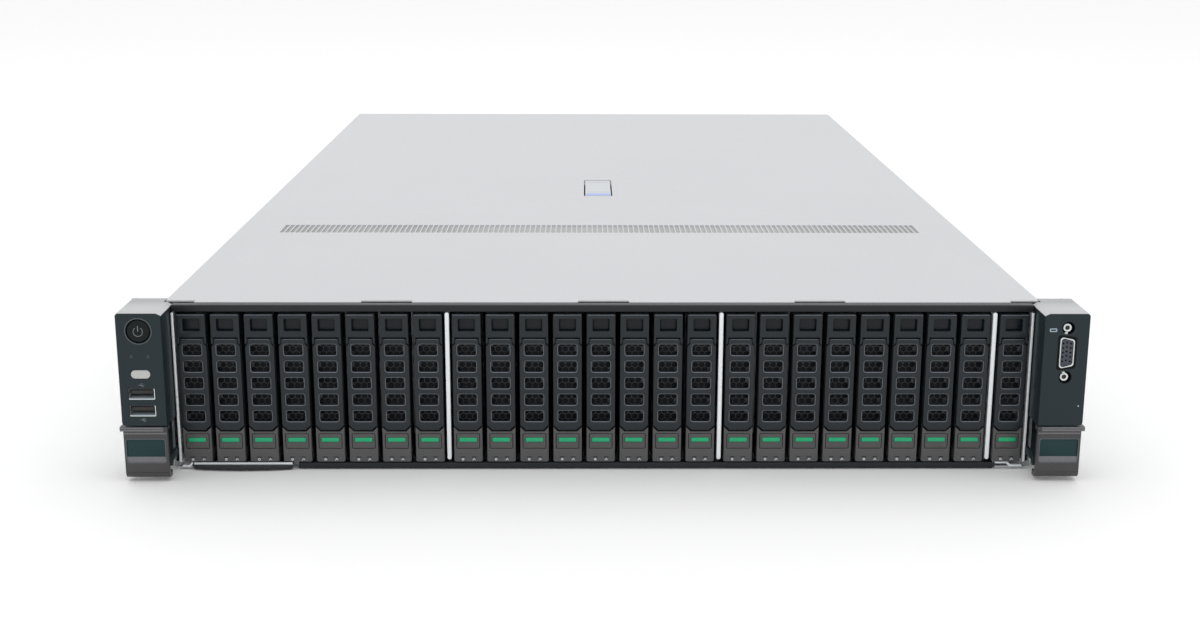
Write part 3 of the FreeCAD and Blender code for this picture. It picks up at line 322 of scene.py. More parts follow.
def rounded(x, z, radius, steps=4):
    """Rounded rectangle outline."""
    points = []
    corners = [(x[1] - radius, z[0] + radius, -90), (x[1] - radius, z[1] - radius, 0),
               (x[0] + radius, z[1] - radius, 90), (x[0] + radius, z[0] + radius, 180)]
    for cx, cz, start in corners:
        for k in range(steps + 1):
            turn = radians(start + 90 * k / steps)
            points.append(polar((cx, cz), radius, turn))
    return points


def polar(centre, radius, turn):
    return (centre[0] + radius * cos(turn), centre[1] + radius * sin(turn))


def circle(x, z, radius, steps=24):
    return [polar((x, z), radius, 2 * pi * k / steps) for k in range(steps)]


def ring(centre, radius):
    """Wire ring 1 mm wide."""
    return [circle(*centre, radius + 0.5, 48), circle(*centre, radius - 0.5, 48)]


def rect(x, z):
    return [(x[0], z[0]), (x[1], z[0]), (x[1], z[1]), (x[0], z[1])]


def stroke(points, width, closed=False):
    """Outline strokes as thin quads, for icons: a list of closed loops."""
    loops = []
    pairs = list(zip(points, points[1:] + points[:1])) if closed else list(zip(points, points[1:]))
    for (ax, az), (bx, bz) in pairs:
        d = hypot(bx - ax, bz - az)
        ux, uz = (bx - ax) / d, (bz - az) / d
        nx, nz = -uz * width / 2, ux * width / 2
        ex, ez = ux * width * 0.25, uz * width * 0.25
        loops.append([(ax - nx - ex, az - nz - ez), (bx - nx + ex, bz - nz + ez),
                      (bx + nx + ex, bz + nz + ez), (ax + nx - ex, az + nz - ez)])
    return loops


def inked(kit, loops, y, mat, thick=0.06):
    for loop in loops:
        kit.plate(mat, [loop], (y - thick, y + 0.05), 0)


def centred(c, width):
    return (c - width / 2, c + width / 2)


def inset(span, margin):
    return (span[0] + margin, span[1] - margin)


def node_box(name):
    low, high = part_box(name)
    return low / MM, high / MM


def middle(name):
    return [(a + b) / 2 for a, b in zip(*node_box(name))]


def mirror_x(loop):
    return [(-a, b) for a, b in reversed(loop)]


def on_side(side, a, b):
    """A right-hand span in X, moved to a side."""
    return (a, b) if side > 0 else (-b, -a)


def sided(side):
    """Functions that turn a right-hand outline and a right-hand span in X to a side."""
    return (lambda loop: loop if side > 0 else mirror_x(loop)), (lambda a, b: on_side(side, a, b))


def shape(node):
    """The CAD node's mesh in millimetres, split into its loose solids, biggest first."""
    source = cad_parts[node].data
    bm = bmesh.new()
    bm.from_mesh(source)
    bmesh.ops.remove_doubles(bm, verts=bm.verts, dist=1e-7)
    bmesh.ops.scale(bm, vec=(1000, 1000, 1000), verts=bm.verts)
    left = set(bm.verts)
    groups = []
    while left:
        start = left.pop()
        group, todo = {start}, [start]
        while todo:
            for edge in todo.pop().link_edges:
                for v in edge.verts:
                    if v in left:
                        left.discard(v)
                        group.add(v)
                        todo.append(v)
        groups.append(group)
    meshes = []
    for group in sorted(groups, key=len, reverse=True):
        copy = bmesh.new()
        table = {v: copy.verts.new(v.co) for v in group}
        for face in {f for v in group for f in v.link_faces}:
            copy.faces.new([table[v] for v in face.verts])
        meshes.append(copy)
    bm.free()
    return meshes


def eased(bm, bevel=0.25, segments=2, angle=28):
    """Flat faces joined and sharp edges eased, like moulded or pressed parts."""
    bmesh.ops.dissolve_limit(bm, angle_limit=radians(1), verts=bm.verts, edges=bm.edges)
    if bevel > 0:
        sharp = [e for e in bm.edges if len(e.link_faces) == 2 and e.calc_face_angle(0) > radians(angle)]
        bmesh.ops.bevel(bm, geom=sharp, offset=bevel, segments=segments, affect="EDGES", profile=0.5,
                        clamp_overlap=True)
    return finished(bm, "eased")


def dress(node, choose, bevel=0.2, segments=2, extra=None, body="chassis"):
    """The node's own solids with eased edges, a material each, and the finer parts that sit on them."""
    kit = Kit()
    for bm in shape(node):
        low = Vector([min(v.co[axis] for v in bm.verts) for axis in range(3)])
        high = Vector([max(v.co[axis] for v in bm.verts) for axis in range(3)])
        mat = choose(low, high) if callable(choose) else choose
        if mat:
            kit.add(eased(bm, bevel, segments), mat)
        bm.free()
    if extra:
        extra(kit)
    kit.piece(node, body)


def hexes(x, z, pitch, radius):
    """Honeycomb of holes that lie inside a rectangle."""
    loops = []
    row = 0
    pz = z[0] + radius
    while pz <= z[1] - radius:
        px = x[0] + radius + (pitch / 2 if row % 2 else 0)
        while px <= x[1] - radius:
            corners = [radians(60 * k) for k in range(6)]
            loops.append([(px + radius * sin(turn), pz + radius * cos(turn)) for turn in corners])
            px += pitch
        pz += pitch * sqrt(3) / 2
        row += 1
    return loops


# ---- Drive carriers --------------------------------------
low, high = node_box("drive_01")
HALF = (high.x - low.x) / 2
FACE = low.y + 0.3
BOTTOM, TOP = low.z, high.z
DISK_WIDE = 69.85
LEVER_TOP = TOP - 12.2
LEVER_LOW = LEVER_TOP - 48.9
LEVER_BACK = FACE + 2.8
BEZEL_BACK = FACE + 16
CHEEK = HALF - 1.15
BUTTON_Z = (LEVER_LOW - 9.9, LEVER_LOW - 2)


def at_face(a, b):
    return (FACE + a, FACE + b)


def add_carrier(kit):
    head = [rounded((-HALF, HALF), (LEVER_TOP + 0.3, TOP), 0.5),
            rounded((-4.2, 4.2), (TOP - 8.5, TOP - 2.2), 0.5)]
    kit.plate("carrier_plastic", head, at_face(0, 2.6), 0.4)
    kit.block("carrier_plastic", (-HALF, HALF), (FACE + 2.4, BEZEL_BACK), (LEVER_TOP + 0.3, TOP), 0.3)
    # painted shade at the back of the top recess
    kit.block("recess_painted_shade", (-4.3, 4.3), at_face(1.9, 2.5), (TOP - 8.6, TOP - 2.1), 0.1)
    # painted highlight lines under the top recess and along the carrier's top front edge
    kit.block("painted_highlight_plastic", (-4.5, 4.5), at_face(0.02, 0.35), (TOP - 9.35, TOP - 8.95), 0.12)
    kit.block("painted_highlight_plastic", (-HALF + 0.4, HALF - 0.4), at_face(0.1, 1.2), (TOP - 0.35, TOP), 0.12)
    over = LEVER_TOP - 3.5
    flat = HALF - 2.7 + 0.33
    for side in (-1, 1):
        cheek = [(CHEEK, over + 1.15), (HALF, over), (HALF, LEVER_TOP + 0.5), (CHEEK, LEVER_TOP + 0.5)]
        kit.plate("carrier_plastic", [cheek if side > 0 else mirror_x(cheek)], (FACE, LEVER_BACK + 0.4), 0.15)
        kit.block("carrier_plastic", on_side(side, CHEEK, HALF), (LEVER_BACK + 0.3, BEZEL_BACK),
                  (BUTTON_Z[0] - 0.6, LEVER_TOP + 0.6), 0.1)
    under = LEVER_LOW - 0.8
    foot = [(-HALF, BOTTOM + 0.5), (-HALF + 0.8, BOTTOM), (HALF - 0.8, BOTTOM), (HALF, BOTTOM + 0.5),
            (HALF, under + HALF - flat), (flat, under), (-flat, under), (-HALF, under + HALF - flat)]
    pocket = rounded((-6, 6), (BUTTON_Z[0] - 0.15, BUTTON_Z[1] + 0.15), 0.7)
    kit.plate("carrier_low", [foot, pocket], (FACE, LEVER_BACK), 0.35)
    kit.block("carrier_low", (-HALF, HALF), (LEVER_BACK - 0.4, BEZEL_BACK), (BOTTOM, BUTTON_Z[0] - 0.5), 0.3)
    # painted shade behind the button pocket
    kit.block("painted_shade_dark", (-CHEEK, CHEEK), at_face(6, 6.8), (BUTTON_Z[0] - 0.6, LEVER_LOW + 1), 0.1)
    mesh_area = ((-CHEEK + 0.2, CHEEK - 0.2), (LEVER_LOW + 1.5, LEVER_TOP - 1))
    screen = [rect((-CHEEK, CHEEK), (LEVER_LOW + 0.8, LEVER_TOP + 0.4))] + hexes(*mesh_area, 3.2, 1.66)
    kit.plate("screen_metal", screen, at_face(5.2, 5.7), 0.1, 1)
    # painted shade: dark backing behind the honeycomb screen
    kit.block("painted_shade_backing", (-CHEEK, CHEEK), at_face(8.2, 8.8), (LEVER_LOW, LEVER_TOP), 0.1)
    # painted shade in the two LED slots
    for side in (-1, 1):
        kit.block("painted_shade_dark", centred(side * 2.8, 2.4), at_face(-0.02, 0.2), centred(BOTTOM + 2.6, 0.5),
                  0.08)
    kit.plate("icon_white", [circle(-2.8, BOTTOM + 1.35, 0.62, 16), circle(-2.8, BOTTOM + 1.35, 0.34, 16)],
              at_face(-0.04, 0.1), 0)
    inked(kit, stroke([(2.2, BOTTOM + 0.85), (2.9, BOTTOM + 1.9), (3.5, BOTTOM + 1)], 0.28), FACE,
          "icon_white", 0.04)
    rail = (TOP - BOTTOM - DISK_WIDE) / 2
    back = node_box("drive_01")[1].y
    for z in ((BOTTOM, BOTTOM + rail), (TOP - rail, TOP)):
        kit.block("carrier_plastic", (-3, 3), (BEZEL_BACK - 0.5, back), z, 0.4)
    kit.block("disk_metal", (-HALF + 0.3, HALF - 0.3), (FACE + 33, back), (BOTTOM + rail, TOP - rail), 0.8, 3)


def add_lever(kit):
    slim = CHEEK - 0.2
    neck = LEVER_TOP - 4.3
    end = LEVER_TOP - 0.35
    right = [(HALF - 2.7, LEVER_LOW), (HALF, LEVER_LOW + 2.7), (HALF, neck), (slim, neck + HALF - slim),
             (slim, end)]
    loops = [right + mirror_x(right)]
    for window in range(5):
        z = LEVER_TOP - 3 - 8.8 * window
        loops.append(rounded((-4.9, 4.9), (z - 6.1, z), 1.2))
        # painted highlight rim round each lever window
        rim = [rounded((-5.15, 5.15), (z - 6.35, z + 0.15), 1.4, 5),
               rounded((-4.8, 4.8), (z - 6, z - 0.1), 1.15, 5)]
        kit.plate("painted_rim_highlight", rim, at_face(-0.06, 0.6), 0.05, 1)
        # painted highlight along the bottom edge of each lever window
        kit.block("painted_highlight_plastic", (-3.9, 3.9), at_face(-0.08, 0.3), (z - 6.3, z - 6.02), 0.08)
    kit.plate("lever_plastic", loops, (FACE, LEVER_BACK), 0.4, 3)
    # painted highlight along the lever's top edge
    kit.block("painted_rim_highlight", (-slim + 0.9, slim - 0.9), at_face(-0.02, 0.3), (end - 0.4, end - 0.1), 0.08)


def add_button(kit):
    kit.block("carrier_low", (-5.85, 5.85), at_face(0, 4.2), BUTTON_Z, 0.55, 3)
    top = BUTTON_Z[1] - 2
    kit.block("port_black", (-4.75, 4.75), at_face(-0.03, 0.1), (top - 2.45, top + 0.25), 0.02)
    kit.block("green_bar", (-4.5, 4.5), at_face(-0.3, 0.2), (top - 2.2, top), 0.22, 3)


whole = Kit()
add_carrier(whole)
add_lever(whole)
add_button(whole)
drive_mesh = whole.mesh("drive_mesh")
for number in range(1, 25):
    node = f"drive_{number:02d}"
    obj = bpy.data.objects.new(f"drive_front_{number:02d}", drive_mesh)
    obj.matrix_world = Matrix.Translation((middle(node)[0] * MM, 0, 0))
    place(obj, node, node)
last_x = Matrix.Translation((middle("drive_25")[0] * MM, 0, 0))
for builder, node, name, slot in ((add_carrier, "drive_25", "drive_front_25", "carrier_grey"),
                                  (add_lever, "drive_25_lever", "eject_lever_25", "carrier_grey"),
                                  (add_button, "drive_25_button", "release_button_25", "release_green")):
    kit = Kit()
    builder(kit)
    mesh = kit.mesh(name)
    mesh.transform(last_x)
    place(bpy.data.objects.new(name, mesh), node, node)


# ---- Front frame, drive cage, label tab ------------------
CAGE_X = 217.2
SHEET = 1.2


def cage_window(number):
    """Place in X of the windows over and behind the drives."""
    return 54 * number - 189


low, high = node_box("front_frame")
frame_y = (low.y, low.y + 5)
frame_top = high.z
bar_x = high.x
kit = Kit()
kit.block("frame_paint", (-bar_x, bar_x), frame_y, (frame_top - 3.6, frame_top - 0.12), 0.5, 3)
# top face of the frame bar in a lighter grey, painted light
kit.block("frame_top_painted_light", (-bar_x + 0.3, bar_x - 0.3), (frame_y[0] + 0.35, frame_y[1]),
          (frame_top - 0.6, frame_top), 0.25)
kit.block("frame_paint", (-CAGE_X, CAGE_X), (frame_y[1] - 0.3, frame_y[1] + 8),
          (frame_top - 3.4, frame_top - 2.2), 0.15)
kit.block("frame_paint", (-157.4, 202.4), frame_y, (0, 3.3), 0.5, 3)
kit.piece("front_frame")

low, high = node_box("drive_cage")
cage_y = (frame_y[1], high.y)
roof = high.z
kit = Kit()
TAB_SLOT = rect((-211.3, -160.1), (cage_y[0] + 0.01, 64.3))
kit.plate("galvanised", [rect((low.x, high.x), cage_y), TAB_SLOT], (SHEET, 2 * SHEET), 0.1, plane="xy")
loops = [rect((-218.4, 218.4), cage_y)] + [rounded(centred(cage_window(k), 34), (40, 96),
        3) for k in range(8)]
kit.plate("galvanised", loops, (roof - SHEET, roof), 0.1, plane="xy")
for side in (-1, 1):
    holes = [rect(cage_y, (2.4, roof - SHEET))] + [circle(y, z, 2.2, 16) for y in (20, 60, 100) for z in (20,
            66)]
    kit.plate("galvanised", holes, on_side(side, CAGE_X, CAGE_X + SHEET), 0.1, plane="yz")
drives = [middle(f"drive_{number:02d}")[0] for number in range(1, 26)]
for x in drives:
    kit.block("galvanised", centred(x, 5), (cage_y[0] + 1, cage_y[1] - 1), (2.4, 3.7), 0.4)
dividers = [(drives[k] + drives[k + 1]) / 2 for k in (7, 15, 23)]
for x in dividers:
    kit.block("galvanised", centred(x, 1.2), cage_y, (2.4, roof - SHEET), 0.1)
    strip = rounded(centred(x, 2.2), (BOTTOM + 0.9, frame_top - 3.9), 1.05, 6)
    kit.plate("bright_metal", [strip], (FACE + 0.8, cage_y[0] + 0.2), 0.35, 3)
for side in (-1, 1):
    kit.block("bright_metal", on_side(side, CAGE_X, CAGE_X + SHEET), (FACE, cage_y[0] + 0.2),
              (BOTTOM, frame_top - 3.9), 0.3, 3)
kit.block("frame_paint", (-217.1, -216.1), (FACE + 1, cage_y[0]), (22, frame_top - 3.9))
step = [(203.4, 2.6), (209.2, 2.6), (210.7, 0.9), (CAGE_X, 0.9), (CAGE_X, 2), (211.4, 2), (209.8, 3.6),
        (203.4, 3.6)]
kit.plate("bright_metal", [step], (frame_y[0], frame_y[1] + 0.1), 0.15)
fold = [(-CAGE_X, 0.9), (-213, 0.9), (-211.5, 3.1), (-212.4, 3.6), (-213.8, 1.9), (-CAGE_X, 1.9)]
kit.plate("bright_metal", [fold], (frame_y[0], frame_y[1] + 0.1), 0.15)
kit.piece("drive_cage")

low, high = node_box("label_tab")
kit = Kit()
crest = high.z
centre = (low.x + high.x) / 2
reach = (high.x - low.x) / 2
back = frame_y[0] - 0.3
arc = [(centre + k / 8 * reach, back - 3.4 + 2.2 * (k / 8) ** 2) for k in range(-8, 9)]
kit.plate("tab_plastic", [[(centre + reach, back), (centre - reach, back)] + arc], (0.2, crest - 1.1), 0.5, 3,
          plane="xy")
kit.block("bright_metal", (low.x, high.x), (frame_y[0] - 0.9, frame_y[0] - 0.3), (crest - 1.3, crest), 0.15)
kit.block("tab_plastic", (low.x + 0.4, high.x - 0.4), (frame_y[0] - 0.5, high.y), (1.4, 2.1), 0.15)
kit.piece("label_tab", "label_tab")


# ---- Ears ------------------------------------------------
low, high = node_box("right_ear")
EAR_IN, EAR_OUT = low.x, high.x
EAR_FACE = low.y
EAR_TOP = high.z
EAR_ROUND = 1.6
EAR_CHAMFER = (2.3, 1.1)
EAR_SPLIT = EAR_TOP - 58.2
CLEAR_X = EAR_IN + 4.1
POWER = middle("power_button")[::2]
UID = middle("uid_button")[::2]
USB_X = centred(-(EAR_IN + 11.7), 13.2)
USB_Z = (45.95, 37.2)
VGA = (EAR_IN + 11.85, 67.45)
SCREW_WELL = 3.1
USB_TALL = 5.8
CAPTIVE = (232.55, 21.55)
PIVOT = (EAR_FACE + 6.7, 8.7)


def at_ear(a, b):
    return (EAR_FACE + a, EAR_FACE + b)


def d_shape(grow):
    x, z = VGA
    half = 7.95 + grow
    left, right = x - 3.65 - grow, x + 3.65 + grow
    slope, corner = 0.9, 1.5
    points = []
    for cx, cz, start, end in ((left, z - half, 180, 277), (right, z - half + slope, 277, 360),
                               (right, z + half - slope, 0, 83), (left, z + half, 83, 180)):
        cx += corner if cx == left else -corner
        cz += corner if cz < z else -corner
        for k in range(6):
            turn = radians(start + (end - start) * k / 5)
            points.append(polar((cx, cz), corner, turn))
    return points


def ear_outline():
    points = [(EAR_IN, EAR_SPLIT), (EAR_OUT - 1.6, EAR_SPLIT), (EAR_OUT - 0.8, EAR_SPLIT + 0.2),
              (EAR_OUT - 0.2, EAR_SPLIT + 0.8), (EAR_OUT, EAR_SPLIT + 1.6)]
    for k in range(7):
        turn = radians(15 * k)
        points.append((EAR_OUT - EAR_ROUND * (1 - cos(turn)), EAR_TOP - 0.1 - EAR_ROUND * (1 - sin(turn))))
    return points + [(EAR_IN + EAR_CHAMFER[0], EAR_TOP - 0.1), (EAR_IN, EAR_TOP - 0.1 - EAR_CHAMFER[1])]


def ear(kit, side, holes):
    flip, across = sided(side)
    front = flip(ear_outline())
    kit.plate("ear_plastic", [front] + holes, (EAR_FACE, -9), 0.35, 3)
    behind = flip([(max(a, CLEAR_X), b) for a, b in ear_outline()])
    kit.plate("ear_plastic", [behind], (-9.1, -1.6), 0.1)
    for inner, start, end in ((EAR_IN, EAR_FACE + 0.25, -9), (CLEAR_X, -9.2, -1.5)):
        cap = [(EAR_OUT - 0.6, EAR_TOP - 0.25), (EAR_OUT - 1.2, EAR_TOP),
               (max(inner, EAR_IN + EAR_CHAMFER[0]), EAR_TOP)]
        if inner == EAR_IN:
            cap += [(EAR_IN - 0.05, EAR_TOP - EAR_CHAMFER[1]), (EAR_IN, EAR_TOP - EAR_CHAMFER[1] - 0.4)]
        cap += [(max(inner, EAR_IN + EAR_CHAMFER[0]), EAR_TOP - 0.4), (EAR_OUT - 1.2, EAR_TOP - 0.5)]
        # painted sheen: light caps on the ear's top face
        kit.plate("ear_top_painted_sheen", [flip(cap)], (start, end), 0.05, 1)
    kit.block("ear_plastic", across(CLEAR_X, EAR_OUT), (-3.6, -1.6), (2, EAR_SPLIT))
    eye = [(2.4, -0.4), (1, -2.4), (-1, -2.4), (-2.4, -1), (-2.4, 1), (0, 3.5)]
    eye = [(PIVOT[0] + a, PIVOT[1] + b) for a, b in eye]
    under, over = PIVOT[1] - 0.4, PIVOT[1] + 3.5
    lug = [(-1.6, under), (-9, under)] + eye + [(-1.6, over)]
    kit.plate("ear_plastic", [lug], across(EAR_OUT - 1.4, EAR_OUT), plane="yz")
    kit.plate("ear_plastic", [[(-9, under)] + eye + [(-9, over)]], across(EAR_IN, EAR_IN + 1.4), plane="yz")
    kit.rod("bright_metal", PIVOT, 1.2, across(EAR_IN + 0.2, EAR_OUT - 0.2), axis="x")
    flange = [flip(rounded((CLEAR_X, EAR_OUT), (2, EAR_TOP), 0.6)),
              circle(side * CAPTIVE[0], CAPTIVE[1], 2.9)]
    kit.plate("bright_metal", flange, (-1.6, 0), 0.15)
    arm = [rounded((-1.6, 60), (12, EAR_TOP - 10), 2)]
    kit.plate("galvanised", arm, across(222.75, 224.2), plane="yz")
    for y in (14, 44):
        for z in (24, 64):
            kit.rod("bright_metal", (y, z), 2.6, across(224, 225.2), axis="x", bevel=0.5)


kit = Kit()
holes = [circle(POWER[0], POWER[1], 6, 40), rounded(centred(UID[0], 10.1), centred(UID[1], 4.8), 2.35, 8)]
holes += [rounded((USB_X[0], USB_X[1]), centred(z, USB_TALL), 0.4) for z in USB_Z]
ear(kit, -1, holes)
kit.plate("ring_plastic", [circle(*POWER, 6.85, 64), circle(*POWER, 6.2, 64)], at_ear(-0.25, 0.5), 0.3, 4)
# painted shade in the groove round the power button
kit.plate("painted_shade_dark", [circle(*POWER, 6.3, 64), circle(*POWER, 5.95, 64)], at_ear(-0.03, 0.5), 0)
for x in (-234.4, -226.1):
    inked(kit, stroke([(x - 0.8, 64.9), (x, 66.3), (x + 0.8, 64.9)], 0.3, True), EAR_FACE, "icon_dim", 0.04)
for z in (50.6, 32.5):
    trident = [[(-231.8, z), (-229, z)], [(-231, z), (-230.2, z + 0.8), (-229.6, z + 0.8)],
               [(-230.6, z), (-229.9, z - 0.8), (-229.4, z - 0.8)]]
    for line in trident:
        inked(kit, stroke(line, 0.22), EAR_FACE, "icon_grey", 0.04)
kit.piece("left_ear")

kit = Kit()
screws = [(VGA[0], VGA[1] - 12.7), (VGA[0], VGA[1] + 12.7)]
holes = [d_shape(0.05)] + [circle(x, z, SCREW_WELL, 32) for x, z in screws]
ear(kit, 1, holes)
kit.plate("icon_print_and_painted_glint", [rounded((221.3, 225), (78.2, 80), 0.5),
                          rounded((221.85, 224.45), (78.7, 79.5), 0.3)], at_ear(-0.04, 0.1), 0)
kit.rod("icon_white", (238.4, 39.7), 0.3, at_ear(-0.05, 0.3), bevel=0.05, segments=12)
# painted shade in the gap round the display connector
kit.plate("painted_shade_dark", [d_shape(1.15), d_shape(0.05)], at_ear(-0.03, 0.3), 0)
# painted shade in each screw well
for x, z in screws:
    kit.plate("painted_shade_dark", [circle(x, z, SCREW_WELL, 32), circle(x, z, SCREW_WELL - 0.15, 32)],
              at_ear(-0.02, 4), 0)
    kit.rod("painted_shade_dark", (x, z), SCREW_WELL + 0.4, at_ear(4, 4.4))
kit.piece("right_ear")


# ---- Front connectors and buttons ------------------------
kit = Kit()
for z in USB_Z:
    shell = [rounded(USB_X, centred(z, USB_TALL), 0.6), rounded(inset(USB_X, 0.45), centred(z, 4.9), 0.4)]
    kit.plate("nickel", shell, at_ear(0.1, 14), 0.12)
    kit.block("port_black", inset(USB_X, 0.3), at_ear(12.2, 13.8), centred(z, 5.2), 0.1)
    # painted shade along the top and left rims of each USB shell
    kit.block("port_black", (USB_X[0] + 0.15, USB_X[1] - 0.5), at_ear(0.04, 0.4), (z + 2.42, z + 2.86), 0.1)
    kit.block("port_black", (USB_X[0] + 0.04, USB_X[0] + 0.42), at_ear(0.04, 0.4), (z - 2.3, z + 2.6), 0.1)
    high_z = z + 1.8
    kit.block("port_black", inset(USB_X, 1), at_ear(1, 12.5), (high_z - 1.9, high_z))
    # painted glint along the bottom inside each USB shell
    kit.block("icon_print_and_painted_glint", inset(USB_X, 0.5), at_ear(0.15, 12), (z - 2.48, z - 2.3), 0.05)
    for k in range(4):
        kit.block("gold", centred(USB_X[0] + 3.1 + 2.33 * k, 1), at_ear(2, 11), (high_z - 2, high_z - 1.85),
                  0.03)
kit.plate("nickel", [d_shape(0), d_shape(-0.6)], at_ear(-0.3, 12), 0.18)
face = [d_shape(-0.55)]
pins = []
for column, offset in ((-1, 0), (0, 1.14), (1, 0)):
    for k in range(5):
        pins.append((VGA[0] + 1.9 * column, VGA[1] - 4.6 + 2.3 * k + offset - (0.57 if column == 0 else 0)))
face += [circle(x, z, 0.5, 12) for x, z in pins]
kit.plate("port_face", face, at_ear(0.5, 6), 0.05)
# painted shade inside the display connector
kit.plate("painted_shade_dark", [d_shape(-0.5)], at_ear(6, 7), 0.05)
for x, z in screws:
    y = EAR_FACE + 0.6
    kit.plate("nickel", [circle(x - 0.35, z, 2.3, 36), circle(x - 0.35, z, 1.05, 24)], (y, y + 3), 0.5, 3)
    # painted shade in the standoff's screw hole
    kit.rod("port_black", (x - 0.35, z), 1.2, (y + 1.3, y + 3.2))
    sign = 1 if z > VGA[1] else -1
    tongue = stroke([(x - 3.6, z - sign * 3.9), (x - 0.6, z - sign * 2.4)], 1.1)
    kit.plate("nickel", tongue, at_ear(0.05, 0.5), 0.1)
kit.piece("front_ports")

kit = Kit()
y = node_box("power_button")[0].y
kit.turned("button_gloss", [(0, y + 0.12), (2.5, y + 0.08), (4.6, y), (5.3, y + 0.08), (5.7, y + 0.5),
                            (5.7, y + 7), (0, y + 7)], POWER, segments=56)
arc = [(POWER[0] + 2.3 * sin(radians(a)), POWER[1] - 0.2 + 2.3 * cos(radians(a))) for a in range(40, 321, 14)]
inked(kit, stroke(arc, 0.34), y + 0.1, "icon_grey", 0.1)
inked(kit, stroke([(POWER[0], POWER[1] + 0.1), (POWER[0], POWER[1] + 2.7)], 0.42), y + 0.1, "symbol_teal",
      0.1)
kit.piece("power_button", "power_button")
kit = Kit()
kit.plate("pill_silver", [rounded(centred(UID[0], 9.7), centred(UID[1], 4.4), 2.15, 8)], at_ear(-0.4, 7), 0.6,
          4)
kit.piece("uid_button", "uid_button")


# ---- Ear latches and captive screws ----------------------
def ear_latch(side, name):
    flip, across = sided(side)
    kit = Kit()
    wide = (EAR_IN + 0.2, EAR_OUT - 0.2)
    window = (EAR_IN + 1.7, EAR_OUT - 1.4)
    front = [flip(rounded(wide, (4.6, 26.6), 0.3)), flip(rounded(window, (9.9, 22.2), 1.1, 6))]
    kit.plate("latch_plastic", front, at_ear(0, 2.3), 0.25, 3)
    # painted highlight band in the lower part of the latch window
    sill = [flip([(window[0] - 0.2, 9.7), (window[1] + 0.2, 9.7), (window[1] + 0.2, 13),
                  (window[0] - 0.2, 13)])]
    kit.plate("latch_painted_highlight", sill, at_ear(0.25, 2.2), 0.15)
    kit.block("latch_window", across(*inset(window, -0.3)), at_ear(0.5, 2.2), (12.9, 22.5))
    # painted highlight rim round the latch window
    rim = [flip(rounded(inset(window, -0.3), (9.6, 22.5), 1.3, 6)),
           flip(rounded(window, (9.9, 22.2), 1.1, 6))]
    kit.plate("painted_rim_highlight", rim, at_ear(-0.05, 0.3), 0.04, 1)
    turns = [radians(7.5 * k) for k in range(13)]
    skin = [(EAR_FACE + 3.2 - 3.2 * cos(t), 4.6 - 3.2 * sin(t)) for t in turns] + [(PIVOT[0] - 0.3, 1.4),
            (PIVOT[0] - 0.3, 4.3)]
    skin += [(EAR_FACE + 3.5 - 1.2 * cos(t), 5 - 1.2 * sin(t)) for t in reversed(turns)]
    kit.plate("latch_plastic", [skin], across(*wide), 0.25, plane="yz")
    kit.block("latch_plastic", across(wide[0], EAR_OUT + 1.6), at_ear(0.3, 5), (26.3, 28.6), 0.3, 3)
    # painted highlight bands on the lip's upper and lower faces
    for lip_z in ((27.6, 28.5), (26.35, 27.4)):
        kit.block("latch_painted_highlight", across(EAR_IN + 2.2, EAR_OUT + 1.5), at_ear(0, 0.8), lip_z, 0.25, 3)
    # painted highlight line below the lip
    kit.block("latch_painted_highlight", across(*inset(wide, 0.2)), at_ear(-0.05, 0.6), (24.9, 25.7), 0.2, 3)
    web = [(EAR_FACE + 1.8, PIVOT[1] + 5), (EAR_FACE + 1.8, 5.5), (EAR_FACE + 3.5, 3.8),
           (PIVOT[0] - 0.5, 3.8),
           (PIVOT[0] + 1.6, PIVOT[1] - 1.6), (PIVOT[0] + 2.2, PIVOT[1]), (PIVOT[0], PIVOT[1] + 2.2)]
    for x in (EAR_IN + 1.7, EAR_OUT - 1.7 - 1.6):
        kit.plate("latch_plastic", [web, circle(PIVOT[0], PIVOT[1], 1.3, 20)], across(x, x + 1.6), 0.15,
                  plane="yz")
    kit.piece(name, name)


ear_latch(1, "right_ear_latch")
ear_latch(-1, "left_ear_latch")

kit = Kit()
low, high = node_box("captive_screws")
for side in (-1, 1):
    at = (side * CAPTIVE[0], CAPTIVE[1])
    knurl = [polar(at, 5.2 if k % 2 else 4.9, radians(7.5 * k)) for k in range(48)]
    kit.plate("bright_metal", [knurl], (low.y + 1.2, low.y + 8.4), 0.3)
    slot = rect(centred(at[0], 7), centred(at[1], 1.2))
    kit.plate("bright_metal", [circle(at[0], at[1], 4.4, 32), slot], (low.y, low.y + 1.3))
    kit.turned("bright_metal", [(0, low.y + 8), (2.5, low.y + 8.2), (2.5, high.y - 1.6), (1.6, high.y),
                                (0, high.y)], at, segments=32)
    for k in range(8):
        kit.turned("bright_metal", [(2.3, high.y - 9 + k), (2.5, high.y - 8.7 + k), (2.3, high.y - 8.4 + k)],
                   at, segments=24)
kit.piece("captive_screws")


# ---- Top cover and its latch -----------------------------
low, high = node_box("top_cover")
COVER_X = high.x
COVER_Y = (low.y, high.y)
COVER_Z = high.z
WELL_X = 9.8
WELL_Y = (297.1, 362.9)
HINGE = (359, COVER_Z - 3)
kit = Kit()
tips, chamfers, inner = COVER_Y[0], COVER_Y[0] + 2.6, COVER_Y[0] + 3.2
edge = [(-COVER_X, inner), (-COVER_X + 15, inner), (-COVER_X + 15, tips)]
for x in (-110.3, 0, 110.3):
    edge += [(x - 13, tips), (x - 13, chamfers), (x - 12.4, inner), (x + 12.4, inner), (x + 13, chamfers),
             (x + 13, tips)]
edge += [(COVER_X - 15, tips), (COVER_X - 15, inner), (COVER_X, inner), (COVER_X, COVER_Y[1]),
         (-COVER_X, COVER_Y[1])]
loops = [edge, rounded((-WELL_X, WELL_X), WELL_Y, 0.8)]
for k in range(123):
    x = (k - 61) * 3.2
    loops.append(rounded(centred(x, 2.4), (169.3, 193.5), 0.5, 2))
